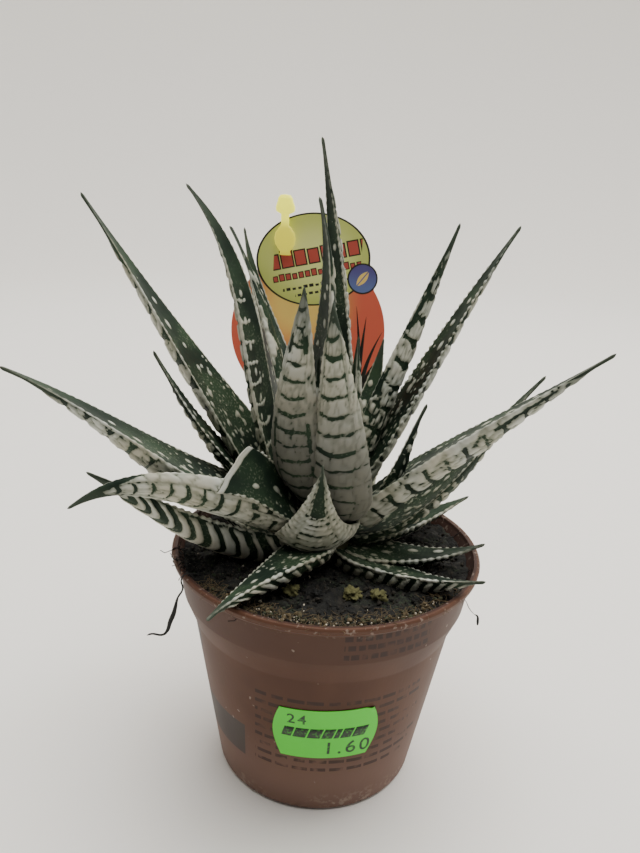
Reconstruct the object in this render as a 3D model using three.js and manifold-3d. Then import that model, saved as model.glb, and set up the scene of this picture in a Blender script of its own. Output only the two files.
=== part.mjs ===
// Potted haworthia: a rosette of toothed, white-banded leaves in a small nursery pot.
// Millimetres, +Z up; the origin is on the pot's axis at its underside, the photo side is -Y.
import * as THREE from "three";
import { mergeVertices } from "three/addons/utils/BufferGeometryUtils.js";
import Module from "manifold-3d";

// Pot
const RIM_R = 40; // outer radius at the rim
const POT_H = 63; // height
const LIP_R = 38.3; // outer radius below the lip
const LIP_Z = 60.2;
const COLLAR_R = 37; // outer radius at the collar's lower edge
const COLLAR_Z = 51.8;
const BODY_R = 34.3; // outer radius below the shoulder
const BODY_Z = 45;
const FOOT_R = 27; // outer radius of the underside
const WALL = 1.5;
const FLOOR = 1.8;
const FOOT_EDGE = 0.8; // bevel round the underside
// The inside, from the rim down: radius and height
const INSIDE = [
  [RIM_R - WALL - 0.1, POT_H],
  [RIM_R - WALL - 0.3, POT_H - 0.8],
  [LIP_R - WALL + 0.1, LIP_Z - 0.2],
  [COLLAR_R - WALL, COLLAR_Z - 0.4],
  [BODY_R - WALL, BODY_Z - 0.4],
  [FOOT_R - WALL - 0.3, FLOOR + 0.8],
  [FOOT_R - WALL - 1.1, FLOOR],
];
const DRAIN_R = 3.2; // drain holes
const DRAIN_RING = 17;
const DRAINS = 6;
const POT_SIDES = 42;

// Soil and stem
const SOIL_Z = 60.4; // mean height of the soil
const SOIL_RISE = 1.2; // towards the front, where it reaches the rim
const SOIL_RINGS = 5;
const SOIL_SIDES = 36;
const STEM_R = 6.2;
const STEM_FOOT = 52;
const STEM_TOP = 84;

// Gaps and leaf form
const GAP = 0.3; // clearance between neighbouring pieces
const STATION = 4.4; // distance between sections along a leaf
const TOOTH = 0.4; // how far a tooth stands out from the margin
const RIDGE = 0.35; // how far a band stands out from the outer face
const EDGE = 0.3; // half thickness of the margin
const TIP = 0.45; // half width at the very tip

// Price label and plant label
const PRICE_W = 26;
const PRICE_H = 16;
const PRICE_Z = 28.4;
const PRICE_TURN = -1.49; // azimuth of its middle, radians
const CARD_T = 0.8;
// The card's fields in its own frame: x, y, two radii, sides, tilt in degrees
const OVAL = [-8.6, 9.5, 16.1, 12.8, 40, 6];
const ROUND = [-9.1, -10.6, 22, 22, 48];
const DISC = [5.6, 5, 4.3, 4.3, 20];

// One row a leaf, inner leaves first. The columns:
// name, azimuth, root radius, root height, reach, tip height, first and last rise angle,
// width, depth, then the rarer ones (sway sideways, roll at root and tip, taper powers, cut).
const LEAVES = [
  ["leaf_01", 20, 2, 82, 5, 118, 80, 88, 9, 4, {}],
  ["leaf_02", 205, 2, 82, 5, 113, 78, 88, 9, 4, {}],
  ["leaf_03", 60, 4, 80, 8.5, 163, 95, 112, 9, 3.5, { sway: 13, p: 1.5, roll: [10, -25] }],
  ["leaf_04", 142, 4.5, 83, 1.7, 150, 75, 69, 12, 5, { roll: [-118, -112], sway: 8 }],
  ["leaf_05", 230, 4.5, 79, 13, 131, 42, 88, 17.5, 4.5, { p: 1.4, roll: [11, 15] }],
  ["leaf_06", 284, 4, 76, 9, 128, 46, 106, 22, 6.5, { sway: -4, p: 1.05, roll: [-42, -32] }],
  ["leaf_07", 30, 4.5, 76, 31, 145, 74, 69, 13.5, 3.5, { roll: [-60, -73], sway: -2 }],
  ["leaf_08", 125, 5, 77, 50, 139, 62, 68, 11, 4, {}],
  ["leaf_09", 174, 6.5, 71, 37, 151, 57, 46, 15, 4, { roll: [7, -38], sway: 2.5 }],
  ["leaf_10", 141, 6, 75, 42.5, 140, 45, 47, 13, 5, { roll: [-110, -140], sway: -3 }],
  ["leaf_11", 67, 5, 72, 32, 112, 48, 70, 13, 4, {}],
  ["leaf_12", 22, 5, 77.5, 47, 145, 59, 55, 14, 4, { roll: [-7, -7] }],
  ["leaf_13", 170, 7, 71.5, 64.5, 147.5, 50, 53, 20.5, 6, { roll: [-12, 14], sway: 2.5 }],
  ["leaf_14", 340, 5, 72, 23, 105, 35, 68, 9, 4, {}],
  ["leaf_15", 345, 6.5, 74.5, 62.5, 121, 47, 40, 15, 7.2, { roll: [2, -8], sway: 2 }],
  ["leaf_16", 256, 7, 72, 20.5, 93, -12, 84, 30, 6.5, { p: 0.8, q: 1.3, sway: 3.2, roll: [18, 10] }],
  ["leaf_17", 70, 6, 68, 60, 104, 22, 42, 14, 5, {}],
  ["leaf_18", 99, 6, 67, 64, 98, 18, 34, 14, 5, {}],
  ["leaf_35", 92, 5, 72, 27, 114, 45, 72, 13, 4, {}],
  ["leaf_19", 186, 6, 71, 44, 113, 32, 62, 13.5, 4, {}],
  ["leaf_20", 217, 6, 73, 28.5, 89.4, 30, 17, 12, 2.4, { cut: true, roll: [-30, -71] }],
  ["leaf_21", 201, 7, 73.5, 75.5, 114, 17, 27, 20, 8, { roll: [-8, 0], sway: 3 }],
  ["leaf_22", 214, 7, 74, 65, 84.5, 10, -28, 16, 4.5, { roll: [42, 80], sway: -3 }],
  ["leaf_23", 2, 6, 67, 51, 111, 14, 50, 14, 4.5, {}],
  ["leaf_24", 40, 6, 66, 60, 84, 12, 30, 14, 5, {}],
  ["leaf_25", 200, 6, 63, 59.5, 87.5, 2, 34, 17, 5, { roll: [42, 60] }],
  ["leaf_26", 138, 6, 65, 60, 84, 5, 30, 14, 4.5, {}],
  ["leaf_27", 20, 6, 65, 41, 72.5, 0, 22, 12, 4.5, {}],
  ["leaf_28", 84, 6, 63.5, 56, 74, 0, 20, 13, 4, {}],
  ["leaf_29", 350, 6, 64, 40.5, 69, -8, 30, 14, 4.5, { roll: [4, -8] }],
  ["leaf_30", 52, 6, 63, 44, 68, -3, 15, 12, 4, {}],
  ["leaf_31", 325, 6, 63.5, 45, 69, -6, 24, 16, 6.5, { roll: [-14, -20] }],
  ["leaf_32", 252, 7, 66.5, 48.5, 65.5, 14, 3, 15, 5.5, { roll: [4, 40], sway: -9.5 }],
  ["leaf_33", 160, 6, 63, 50, 70, 0, 10, 12, 4, {}],
  ["leaf_34", 118, 6, 63, 30, 68, 2, 20, 11, 3.5, {}],
];

const { Manifold, Mesh: SolidMesh } = await (async () => {
  const made = await Module();
  made.setup();
  return made;
})();

const rad = (degrees) => (degrees * Math.PI) / 180;
const clamp = (x, lo = 0, hi = 1) => Math.min(hi, Math.max(lo, x));
const vec = (x, y, z) => new THREE.Vector3(x, y, z);

// Closed surface from rings of equal length, with a middle point at each end.
function skin(rings, first, last) {
  const n = rings[0].length;
  const points = rings.flat().concat([first, last]);
  const faces = [];
  for (let i = 0; i + 1 < rings.length; i++)
    for (let j = 0; j < n; j++) {
      const k = (j + 1) % n;
      const [a, b, c, d] = [i * n + j, i * n + k, (i + 1) * n + k, (i + 1) * n + j];
      faces.push(a, b, c, a, c, d);
    }
  const end = (rings.length - 1) * n;
  for (let j = 0; j < n; j++) {
    const k = (j + 1) % n;
    faces.push(points.length - 2, k, j);
    faces.push(points.length - 1, end + j, end + k);
  }
  return meshOf(points, faces);
}

function meshOf(points, faces) {
  const g = new THREE.BufferGeometry();
  g.setAttribute(
    "position",
    new THREE.Float32BufferAttribute(points.flatMap((p) => [p.x, p.y, p.z]), 3),
  );
  g.setIndex(faces);
  return g;
}

function solid(geometry) {
  const bare = new THREE.BufferGeometry();
  bare.setAttribute("position", geometry.getAttribute("position"));
  if (geometry.index) bare.setIndex(geometry.index);
  const merged = mergeVertices(bare, 1e-4);
  const made = new Manifold(
    new SolidMesh({
      numProp: 3,
      vertProperties: merged.attributes.position.array,
      triVerts: new Uint32Array(merged.index.array),
    }),
  );
  if (made.volume() > 0) return made;
  const turned = Array.from(merged.index.array);
  for (let i = 0; i < turned.length; i += 3)
    [turned[i], turned[i + 1]] = [turned[i + 1], turned[i]];
  return new Manifold(
    new SolidMesh({
      numProp: 3,
      vertProperties: merged.attributes.position.array,
      triVerts: new Uint32Array(turned),
    }),
  );
}

function geometryOf(made) {
  const m = made.getMesh();
  const flat = new Float32Array(m.numVert * 3);
  for (let i = 0; i < m.numVert; i++)
    flat.set(m.vertProperties.subarray(i * m.numProp, i * m.numProp + 3), i * 3);
  const g = new THREE.BufferGeometry();
  g.setAttribute("position", new THREE.BufferAttribute(flat, 3));
  g.setIndex(new THREE.BufferAttribute(m.triVerts, 1));
  g.computeVertexNormals();
  return g;
}

const largest = (made) =>
  made.decompose().sort((a, b) => b.volume() - a.volume())[0];

// Height of the soil at a point, lifted towards the front rim.
function soilHeight(x, y) {
  const r = Math.hypot(x, y) / RIM_R;
  const bumps =
    0.45 * Math.sin(0.31 * x + 1.1) * Math.cos(0.27 * y - 0.4) +
    0.3 * Math.sin(0.74 * x - 0.53 * y);
  return SOIL_Z + SOIL_RISE * clamp(-y / RIM_R) * r + bumps;
}

// A leaf's centreline: a cubic from its root on the stem to its tip.
function centreline(row) {
  const [, azimuth, r0, z0, reach, rise, e0, e1, , , more] = row;
  const a = rad(azimuth);
  const out = vec(Math.cos(a), Math.sin(a), 0);
  const side = vec(-Math.sin(a), Math.cos(a), 0);
  const root = out.clone().multiplyScalar(r0).setZ(z0);
  const tip = out.clone().multiplyScalar(reach).setZ(rise);
  tip.addScaledVector(side, more.sway ?? 0);
  const chord = root.distanceTo(tip);
  const aim = (e) =>
    out.clone().multiplyScalar(Math.cos(rad(e))).setZ(Math.sin(rad(e)));
  const curve = new THREE.CubicBezierCurve3(
    root,
    root.clone().addScaledVector(aim(e0), 0.36 * chord),
    tip.clone().addScaledVector(aim(e1), -0.36 * chord),
    tip,
  );
  return { curve, side, chord };
}

// Half width and depth at a share t of the leaf's length.
function blade(row, t) {
  const [, , , , , , , , width, depth, more] = row;
  const base = 0.62 + 0.38 * clamp(t / 0.18) ** 0.8;
  const taper = (1 - t ** (more.p ?? 1.25)) ** (more.q ?? 0.92);
  const half = Math.max((width / 2) * (more.cut ? base : base * taper), TIP);
  const slim = clamp((half / (width / 2)) * 1.7);
  const deep = depth * (0.35 + 0.65 * (1 - t) ** 0.8) * slim;
  return { half, deep: Math.max(deep, 0.5) };
}

// A leaf: flat channelled inner face, keeled outer face with raised bands, toothed margins.
// With fat > 0 it is the same form without relief, grown by that much, to cut neighbours with.
function leaf(row, fat = 0) {
  const { curve, side, chord } = centreline(row);
  const more = row[10];
  const step = fat ? 1.8 * STATION : STATION;
  const count = 2 * Math.max(5, Math.round((1.12 * chord) / step / 2)) + 1;
  const grow = fat ? fat + RIDGE : 0;
  const rings = [];
  for (let i = 0; i < count; i++) {
    const t = i / (count - 1);
    const at = curve.getPoint(t);
    const along = curve.getTangent(t);
    const across = side.clone().addScaledVector(along, -side.dot(along)).normalize();
    const up = along.clone().cross(across);
    const [roll0, roll1] = more.roll ?? [0, 0];
    const roll = rad(roll0 + (roll1 - roll0) * t);
    const b = across.clone().multiplyScalar(Math.cos(roll)).addScaledVector(up, Math.sin(roll));
    const n = along.clone().cross(b);
    const { half, deep } = blade(row, t);
    const raised = fat ? 0 : (i % 2) * clamp((1 - t) * 4) * clamp(t * 6);
    const w = half + TOOTH * raised + (fat ? fat + TOOTH : 0);
    const d = deep + RIDGE * raised + grow;
    const e = EDGE + fat;
    const dip = EDGE - 0.1 * half + fat;
    const section = [
      [-w, e], [0, dip], [w, e], [w, -e],
      [0.62 * w, -0.72 * d], [0, -d], [-0.62 * w, -0.72 * d], [-w, -e],
    ];
    rings.push(section.map(([u, v]) => at.clone().addScaledVector(b, u).addScaledVector(n, v)));
  }
  const end = (t, way) =>
    curve.getPoint(t).addScaledVector(curve.getTangent(t), way * (0.5 + fat));
  return solid(skin(rings, end(0, -1), end(1, more.cut ? 0.4 : 1)));
}

// A solid of revolution about Z from [radius, height] pairs, anticlockwise.
function turned(profile, sides) {
  const rings = profile.map(([r, z]) => {
    const ring = [];
    for (let j = 0; j < sides; j++) {
      const a = (2 * Math.PI * j) / sides;
      ring.push(vec(r * Math.cos(a), r * Math.sin(a), z));
    }
    return ring;
  });
  const first = vec(0, 0, profile[0][1]);
  const last = vec(0, 0, profile[profile.length - 1][1]);
  return solid(skin(rings, first, last));
}

function pot() {
  const outer = [
    [FOOT_R - FOOT_EDGE, 0],
    [FOOT_R, FOOT_EDGE],
    [BODY_R, BODY_Z],
    [COLLAR_R, COLLAR_Z],
    [LIP_R, LIP_Z],
    [RIM_R - 0.2, POT_H - 1.6],
    [RIM_R, POT_H - 0.5],
    [RIM_R - 0.35, POT_H],
  ];
  let made = turned([...outer, ...INSIDE], POT_SIDES);
  for (let i = 0; i < DRAINS; i++) {
    const a = (2 * Math.PI * i) / DRAINS + 0.3;
    const hole = new THREE.CylinderGeometry(DRAIN_R, DRAIN_R, 8, 12);
    hole.rotateX(Math.PI / 2);
    hole.translate(DRAIN_RING * Math.cos(a), DRAIN_RING * Math.sin(a), 0);
    made = made.subtract(solid(hole));
  }
  return made;
}

function soil() {
  const wall = INSIDE.slice().reverse().map(([r, z]) => [r - GAP, z]);
  wall[0][1] += GAP;
  wall[1][1] += GAP;
  // Radius of the pot's inside at a height.
  const insideAt = (z) => {
    for (let i = 1; i < wall.length; i++)
      if (z <= wall[i][1]) {
        const [r0, z0] = wall[i - 1];
        const [r1, z1] = wall[i];
        return r0 + ((r1 - r0) * (z - z0)) / (z1 - z0);
      }
    return wall[wall.length - 1][0];
  };
  const ringOf = (place) => {
    const ring = [];
    for (let j = 0; j < SOIL_SIDES; j++) {
      const a = (2 * Math.PI * j) / SOIL_SIDES;
      const [r, z] = place(a);
      ring.push(vec(r * Math.cos(a), r * Math.sin(a), z));
    }
    return ring;
  };
  const edge = insideAt(SOIL_Z);
  const topAt = (a, r) => soilHeight(r * Math.cos(a), r * Math.sin(a));
  const rings = wall.slice(0, 4).map((corner) => ringOf(() => corner));
  // The last ring up the wall is the lip's knee, or just under the soil's edge where that is lower.
  rings.push(
    ringOf((a) => {
      const z = Math.min(wall[4][1], topAt(a, edge) - GAP);
      return [insideAt(z), z];
    }),
  );
  for (let i = 0; i < SOIL_RINGS; i++) {
    const share = 1 - i / SOIL_RINGS;
    rings.push(
      ringOf((a) => {
        const z = topAt(a, edge * share);
        return [i === 0 ? insideAt(z) : edge * share, z];
      }),
    );
  }
  return solid(skin(rings, vec(0, 0, wall[0][1]), vec(0, 0, soilHeight(0, 0))));
}

function stem(fat = 0) {
  const profile = [
    [STEM_R - 1.5 + fat, STEM_FOOT - fat],
    [STEM_R + fat, 60],
    [STEM_R + fat, 68],
    [STEM_R - 1.4 + fat, 77],
    [STEM_R - 3.2 + fat, 82],
    [STEM_R - 5 + fat, STEM_TOP + fat],
  ];
  return turned(profile, 16);
}

// The price label: a thin sheet bent round the pot, its two ends bulging.
function priceLabel() {
  const rows = 4;
  const columns = 10;
  const slope = (BODY_R - FOOT_R) / (BODY_Z - FOOT_EDGE);
  const face = (lift) => {
    const points = [];
    for (let i = 0; i <= rows; i++) {
      const v = (i / rows - 0.5) * PRICE_H;
      const z = PRICE_Z + v;
      const radius = FOOT_R + (z - FOOT_EDGE) * slope + lift;
      const half = PRICE_W / 2 - 1.9 * (1 - Math.cos((Math.PI * v) / PRICE_H));
      for (let j = 0; j <= columns; j++) {
        const a = PRICE_TURN + ((j / columns - 0.5) * 2 * half) / (FOOT_R + 4.5);
        points.push(vec(radius * Math.cos(a), radius * Math.sin(a), z));
      }
    }
    return points;
  };
  return solid(sheet(face(0.3), face(0.9), rows, columns));
}

// A closed sheet between two grids of points.
function sheet(back, front, rows, columns) {
  const n = back.length;
  const at = (i, j) => i * (columns + 1) + j;
  const faces = [];
  for (let i = 0; i < rows; i++)
    for (let j = 0; j < columns; j++) {
      const [a, b, c, d] = [at(i, j), at(i, j + 1), at(i + 1, j + 1), at(i + 1, j)];
      faces.push(n + a, n + b, n + c, n + a, n + c, n + d);
      faces.push(a, c, b, a, d, c);
    }
  const edge = [];
  for (let j = 0; j < columns; j++) edge.push(at(0, j));
  for (let i = 0; i < rows; i++) edge.push(at(i, columns));
  for (let j = columns; j > 0; j--) edge.push(at(rows, j));
  for (let i = rows; i > 0; i--) edge.push(at(i, 0));
  edge.forEach((a, i) => {
    const b = edge[(i + 1) % edge.length];
    faces.push(a, b, n + b, a, n + b, n + a);
  });
  return meshOf([...back, ...front], faces);
}

// The plant label leans back on the rim; its own frame has x across, y up and z to the front.
const LABEL_AT = [0, 36.5, 122];
const LABEL_LEAN = 6.8; // degrees back from upright
const fromLabel = (x, y, z) =>
  vec(x, y, z)
    .applyAxisAngle(vec(1, 0, 0), rad(90 - LABEL_LEAN))
    .add(vec(...LABEL_AT));

// An oval field, a round field and a small disc joined in one card.
function plantCard(fat = 0) {
  const plate = (x, y, rx, ry, sides, tilt = 0) => {
    const points = [];
    for (let i = 0; i < sides; i++) {
      const p = new THREE.Vector2(
        (rx + fat) * Math.cos((2 * Math.PI * i) / sides),
        (ry + fat) * Math.sin((2 * Math.PI * i) / sides),
      );
      points.push(p.rotateAround(new THREE.Vector2(), rad(tilt)).add(new THREE.Vector2(x, y)));
    }
    const g = new THREE.ExtrudeGeometry(new THREE.Shape(points), {
      depth: CARD_T + 2 * fat,
      bevelEnabled: false,
    });
    return solid(g);
  };
  return plate(...OVAL)
    .add(plate(...ROUND))
    .add(plate(...DISC))
    .translate([0, 0, -CARD_T / 2 - fat])
    .rotate([90 - LABEL_LEAN, 0, 0])
    .translate(LABEL_AT);
}

// The stake: a flat bar in the soil behind the card that comes through a slot in it,
// with a round pad in front and a knob above the card.
// Height in the label's frame, x, half width, half thickness, place in front of the card.
const STAKE = [
  [-80.5, -13, 0.7, 0.4, -1.3],
  [-76, -13.1, 2, 0.6, -1.3],
  [9.4, -16.5, 2, 0.6, -1.3],
  [12.2, -16.6, 2, 0.6, 1.3],
  [13.6, -16.7, 2.6, 0.7, 1.4],
  [16.8, -16.8, 2.5, 0.7, 1.4],
  [19, -16.9, 1.1, 0.6, 1.4],
  [21.6, -17, 1.2, 0.8, 1.1],
  [22.4, -17, 2.6, 1.2, 0.8],
  [25.6, -17.1, 2, 1.1, 0.8],
  [26.4, -17.1, 1.5, 0.8, 0.8],
];
function stake(fat = 0) {
  const corners = [
    [1, -0.5], [1, 0.5], [0.75, 1], [-0.75, 1],
    [-1, 0.5], [-1, -0.5], [-0.75, -1], [0.75, -1],
  ];
  const rings = STAKE.map(([y, x, w, d, z]) =>
    corners.map(([u, v]) => fromLabel(x + u * (w + fat), y, z + v * (d + fat))),
  );
  const [low, high] = [STAKE[0], STAKE[STAKE.length - 1]];
  return solid(
    skin(
      rings,
      fromLabel(low[1], low[0] - 0.2 - fat, low[4]),
      fromLabel(high[1], high[0] + 0.2 + fat, high[4]),
    ),
  );
}

// A loose root that hangs over the rim on the left.
const ROOT_PATH = [
  [-29.5, -20, 62.3], [-31.2, -21.4, 63.5], [-32.7, -22.5, 63.8], [-33.4, -23.6, 63], [-33, -24, 60.9],
  [-34.2, -24, 58.3], [-34.8, -24, 55.7], [-35.2, -24, 54], [-36.1, -24, 51.5], [-36.9, -24, 48.9],
  [-37.9, -24, 47.8], [-40.7, -24, 47.8], [-41.8, -24, 47.3],
];
function hangingRoot() {
  const path = new THREE.CatmullRomCurve3(ROOT_PATH.map((p) => vec(...p)));
  const count = 16;
  const rings = [];
  for (let i = 0; i < count; i++) {
    const t = i / (count - 1);
    const at = path.getPointAt(t);
    const along = path.getTangentAt(t);
    const u = along.clone().cross(vec(0.3, 1, 0.2)).normalize();
    const v = along.clone().cross(u);
    const r = 0.42 + 0.25 * Math.sin(Math.PI * clamp((t - 0.35) / 0.4));
    const ring = [];
    for (let j = 0; j < 5; j++) {
      const a = (2 * Math.PI * j) / 5;
      ring.push(at.clone().addScaledVector(u, r * Math.cos(a)).addScaledVector(v, r * Math.sin(a)));
    }
    rings.push(ring);
  }
  return solid(skin(rings, path.getPointAt(0), path.getPointAt(1)));
}

const group = new THREE.Group();
group.name = "potted_haworthia";
function put(name, made, color, roughness = 0.6) {
  const material = new THREE.MeshStandardMaterial({ color, roughness, metalness: 0 });
  const mesh = new THREE.Mesh(geometryOf(made), material);
  mesh.name = name;
  group.add(mesh);
}

const potSolid = pot();
const core = stem();
const cardSolid = plantCard().subtract(stake(GAP));
const earth = soil().subtract(stem(GAP)).subtract(stake(GAP));
put("pot", potSolid, 0x8a5546, 0.65);
put("soil", largest(earth), 0x2c241e, 0.95);
put("stem", core, 0x5a6a44, 0.7);
put("price_label", priceLabel(), 0x6ed44c, 0.6);
put("plant_label", cardSolid, 0xb9bf4a, 0.45);
put("label_stake", stake(), 0xd9d34a, 0.45);
put("hanging_root", hangingRoot(), 0x3a2f27, 0.9);

// Each leaf gives way to the stem, the soil, the rim, the label and the leaves further in.
let inside = stem(GAP).add(stake(GAP)).add(plantCard(GAP));
const ground = soil().add(potSolid).translate([0, 0, GAP]);
for (const row of LEAVES) {
  const kept = leaf(row).subtract(inside).subtract(ground);
  const made = largest(kept);
  put(row[0], made, 0x4c5f4e, 0.5);
  inside = inside.add(leaf(row, GAP));
}

export default group;
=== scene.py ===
import math
import bmesh
import bpy
from mathutils import Matrix, Vector, noise


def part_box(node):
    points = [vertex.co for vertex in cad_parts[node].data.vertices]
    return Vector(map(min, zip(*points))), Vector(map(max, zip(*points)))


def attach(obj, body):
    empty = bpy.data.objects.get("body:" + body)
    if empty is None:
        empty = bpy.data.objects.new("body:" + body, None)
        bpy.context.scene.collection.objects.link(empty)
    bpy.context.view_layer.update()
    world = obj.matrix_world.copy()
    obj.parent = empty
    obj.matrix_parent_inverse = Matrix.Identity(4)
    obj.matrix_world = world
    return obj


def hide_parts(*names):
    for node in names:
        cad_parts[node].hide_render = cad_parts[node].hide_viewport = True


# Potted haworthia in a nursery pot. Sizes below are in millimetres and scaled to metres when a mesh is made.
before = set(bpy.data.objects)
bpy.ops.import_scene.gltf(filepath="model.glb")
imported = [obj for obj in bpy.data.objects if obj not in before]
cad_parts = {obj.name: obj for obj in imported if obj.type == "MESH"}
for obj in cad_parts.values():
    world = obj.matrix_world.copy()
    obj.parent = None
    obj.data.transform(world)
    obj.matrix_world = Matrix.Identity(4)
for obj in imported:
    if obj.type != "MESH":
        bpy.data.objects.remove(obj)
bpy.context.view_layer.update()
mm = 0.001
collection = bpy.context.scene.collection


# Small helpers for node trees. A Wire is a socket that plain arithmetic can use.
class Wire:
    def __init__(self, socket):
        self.socket = socket
        self.tree = socket.id_data

    def __add__(self, other):
        return maths("ADD", self, other)

    def __sub__(self, other):
        return maths("SUBTRACT", self, other)

    def __rsub__(self, other):
        return maths("SUBTRACT", other, self)

    def __mul__(self, other):
        return maths("MULTIPLY", self, other)

    def __truediv__(self, other):
        return maths("DIVIDE", self, other)

    def __pow__(self, other):
        return maths("POWER", self, other)

    __radd__ = __add__
    __rmul__ = __mul__


def feed(socket, value):
    if isinstance(value, Wire):
        value.tree.links.new(value.socket, socket)
    else:
        socket.default_value = value


def treeOf(values):
    return next(value.tree for value in values if isinstance(value, Wire))


def maths(operation, *values):
    node = treeOf(values).nodes.new("ShaderNodeMath")
    node.operation = operation
    for socket, value in zip(node.inputs, values):
        feed(socket, value)
    return Wire(node.outputs[0])


def vectors(operation, *values, result="Vector"):
    node = treeOf(values).nodes.new("ShaderNodeVectorMath")
    node.operation = operation
    order = (0, 3) if operation == "SCALE" else (0, 1, 2)
    for index, value in zip(order, values):
        feed(node.inputs[index], value)
    return Wire(node.outputs[result])


def absolute(wire):
    return maths("ABSOLUTE", wire)


def fraction(wire):
    return maths("FRACT", wire)


def floorOf(wire):
    return maths("FLOOR", wire)


def rootOf(wire):
    return maths("SQRT", wire)


def cosineOf(wire):
    return maths("COSINE", wire)


def sineOf(wire):
    return maths("SINE", wire)


def lesser(first, second):
    return maths("MINIMUM", first, second)


def greater(first, second):
    return maths("MAXIMUM", first, second)


def ramp(value, low, high, start=0.0, end=1.0, kind="SMOOTHSTEP"):
    node = value.tree.nodes.new("ShaderNodeMapRange")
    node.interpolation_type = kind
    names = ("Value", "From Min", "From Max", "To Min", "To Max")
    for name, item in zip(names, (value, low, high, start, end)):
        feed(node.inputs[name], item)
    return Wire(node.outputs["Result"])


# One between two values and zero outside them; a soft edge lies above each of the two.
def band(value, low, high, soft=0.1):
    return ramp(value, low, low + soft) * ramp(value, high + soft, high)


def noiseOf(vector, scale, detail=2.0, roughness=0.5):
    node = vector.tree.nodes.new("ShaderNodeTexNoise")
    for name, item in (("Vector", vector), ("Scale", scale), ("Detail", detail), ("Roughness", roughness)):
        feed(node.inputs[name], item)
    return Wire(node.outputs[0])


def cellsOf(vector, scale, randomness=1.0):
    node = vector.tree.nodes.new("ShaderNodeTexVoronoi")
    for name, item in (("Vector", vector), ("Scale", scale), ("Randomness", randomness)):
        feed(node.inputs[name], item)
    return Wire(node.outputs["Distance"]), Wire(node.outputs["Color"])


def pointOf(x, y, z=0.0):
    node = treeOf((x, y, z)).nodes.new("ShaderNodeCombineXYZ")
    for socket, item in zip(node.inputs, (x, y, z)):
        feed(socket, item)
    return Wire(node.outputs[0])


def partsOf(vector):
    node = vector.tree.nodes.new("ShaderNodeSeparateXYZ")
    feed(node.inputs[0], vector)
    return [Wire(socket) for socket in node.outputs]


def randomOf(number):
    node = number.tree.nodes.new("ShaderNodeTexWhiteNoise")
    node.noise_dimensions = "1D"
    feed(node.inputs["W"], number)
    return Wire(node.outputs["Value"])


# Geometry trees
def newGeometryTree(name, inputs, takesMesh=False):
    tree = bpy.data.node_groups.new(name, "GeometryNodeTree")
    tree.is_modifier = True
    if takesMesh:
        tree.interface.new_socket("Geometry", in_out="INPUT", socket_type="NodeSocketGeometry")
    for label, kind in inputs:
        tree.interface.new_socket(label, in_out="INPUT", socket_type="NodeSocket" + kind)
    tree.interface.new_socket("Geometry", in_out="OUTPUT", socket_type="NodeSocketGeometry")
    source = tree.nodes.new("NodeGroupInput")
    given = {socket.name: Wire(socket) for socket in source.outputs if socket.name}
    return tree, given


def geometry(tree, kind, **values):
    node = tree.nodes.new("GeometryNode" + kind)
    for name, value in values.items():
        feed(node.inputs[name.replace("_", " ")], value)
    return Wire(node.outputs[0])


# A random number, or three of them for a pair of triples, between two values.
def randomBetween(tree, low, high, seed=0):
    triple = isinstance(high, tuple)
    node = tree.nodes.new("FunctionNodeRandomValue")
    node.data_type = "FLOAT_VECTOR" if triple else "FLOAT"
    lowest = 0 if triple else 2
    feed(node.inputs[lowest], low)
    feed(node.inputs[lowest + 1], high)
    node.inputs["Seed"].default_value = seed
    return Wire(node.outputs[0 if triple else 1])


def namedValue(tree, name):
    node = tree.nodes.new("GeometryNodeInputNamedAttribute")
    node.inputs["Name"].default_value = name
    return Wire(node.outputs[0])


def storeValue(shape, name, value, domain="POINT"):
    stored = geometry(shape.tree, "StoreNamedAttribute", Geometry=shape, Name=name, Value=value)
    stored.socket.node.domain = domain
    return stored


def endTree(shape, material):
    tree = shape.tree
    realized = geometry(tree, "RealizeInstances", Geometry=shape)
    painted = geometry(tree, "SetMaterial", Geometry=realized, Material=material)
    target = tree.nodes.new("NodeGroupOutput")
    tree.links.new(painted.socket, target.inputs[0])


def linked(name, data):
    piece = bpy.data.objects.new(name, data)
    collection.objects.link(piece)
    return piece


def finishedMesh(piece):
    graph = bpy.context.evaluated_depsgraph_get()
    return bpy.data.meshes.new_from_object(piece.evaluated_get(graph), depsgraph=graph)


# Runs a tree on an object and keeps the plain mesh that comes out.
def runTree(name, tree, settings, base=None):
    piece = linked(name, base or bpy.data.meshes.new(name))
    modifier = piece.modifiers.new(tree.name, "NODES")
    modifier.node_group = tree
    for item in tree.interface.items_tree:
        if item.in_out == "INPUT" and item.name in settings:
            modifier[item.identifier] = settings[item.name]
    made = finishedMesh(piece)
    bpy.data.objects.remove(piece)
    made.name = name
    return linked(name, made)


def circle(radius, height, sides):
    turns = [2 * math.pi * step / sides for step in range(sides)]
    return [(radius * math.cos(turn), radius * math.sin(turn), height) for turn in turns]


def newPiece(name, points, faces, material):
    mesh = bpy.data.meshes.new(name)
    mesh.from_pydata([Vector(p) * mm for p in points], [], faces)
    mesh.materials.append(material)
    mesh.shade_smooth()
    return linked(name, mesh)


# Joins points that lie on each other and turns every face outwards.
def closeUp(mesh, reach):
    work = bmesh.new()
    work.from_mesh(mesh)
    bmesh.ops.remove_doubles(work, verts=work.verts, dist=reach)
    bmesh.ops.recalc_face_normals(work, faces=work.faces)
    work.to_mesh(mesh)
    work.free()


def finishPiece(piece, slot, *nodes):
    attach(piece, "root")
    if nodes:
        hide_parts(*nodes)
    return piece


# Materials
def newMaterial(name):
    material = bpy.data.materials.new(name)
    material.use_nodes = True
    tree = material.node_tree
    shader = tree.nodes["Principled BSDF"]
    where = tree.nodes.new("ShaderNodeTexCoord")
    return material, shader, Wire(where.outputs["Object"])


def valueOf(shader, name):
    node = shader.id_data.nodes.new("ShaderNodeAttribute")
    node.attribute_name = name
    return Wire(node.outputs["Fac"])


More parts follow.
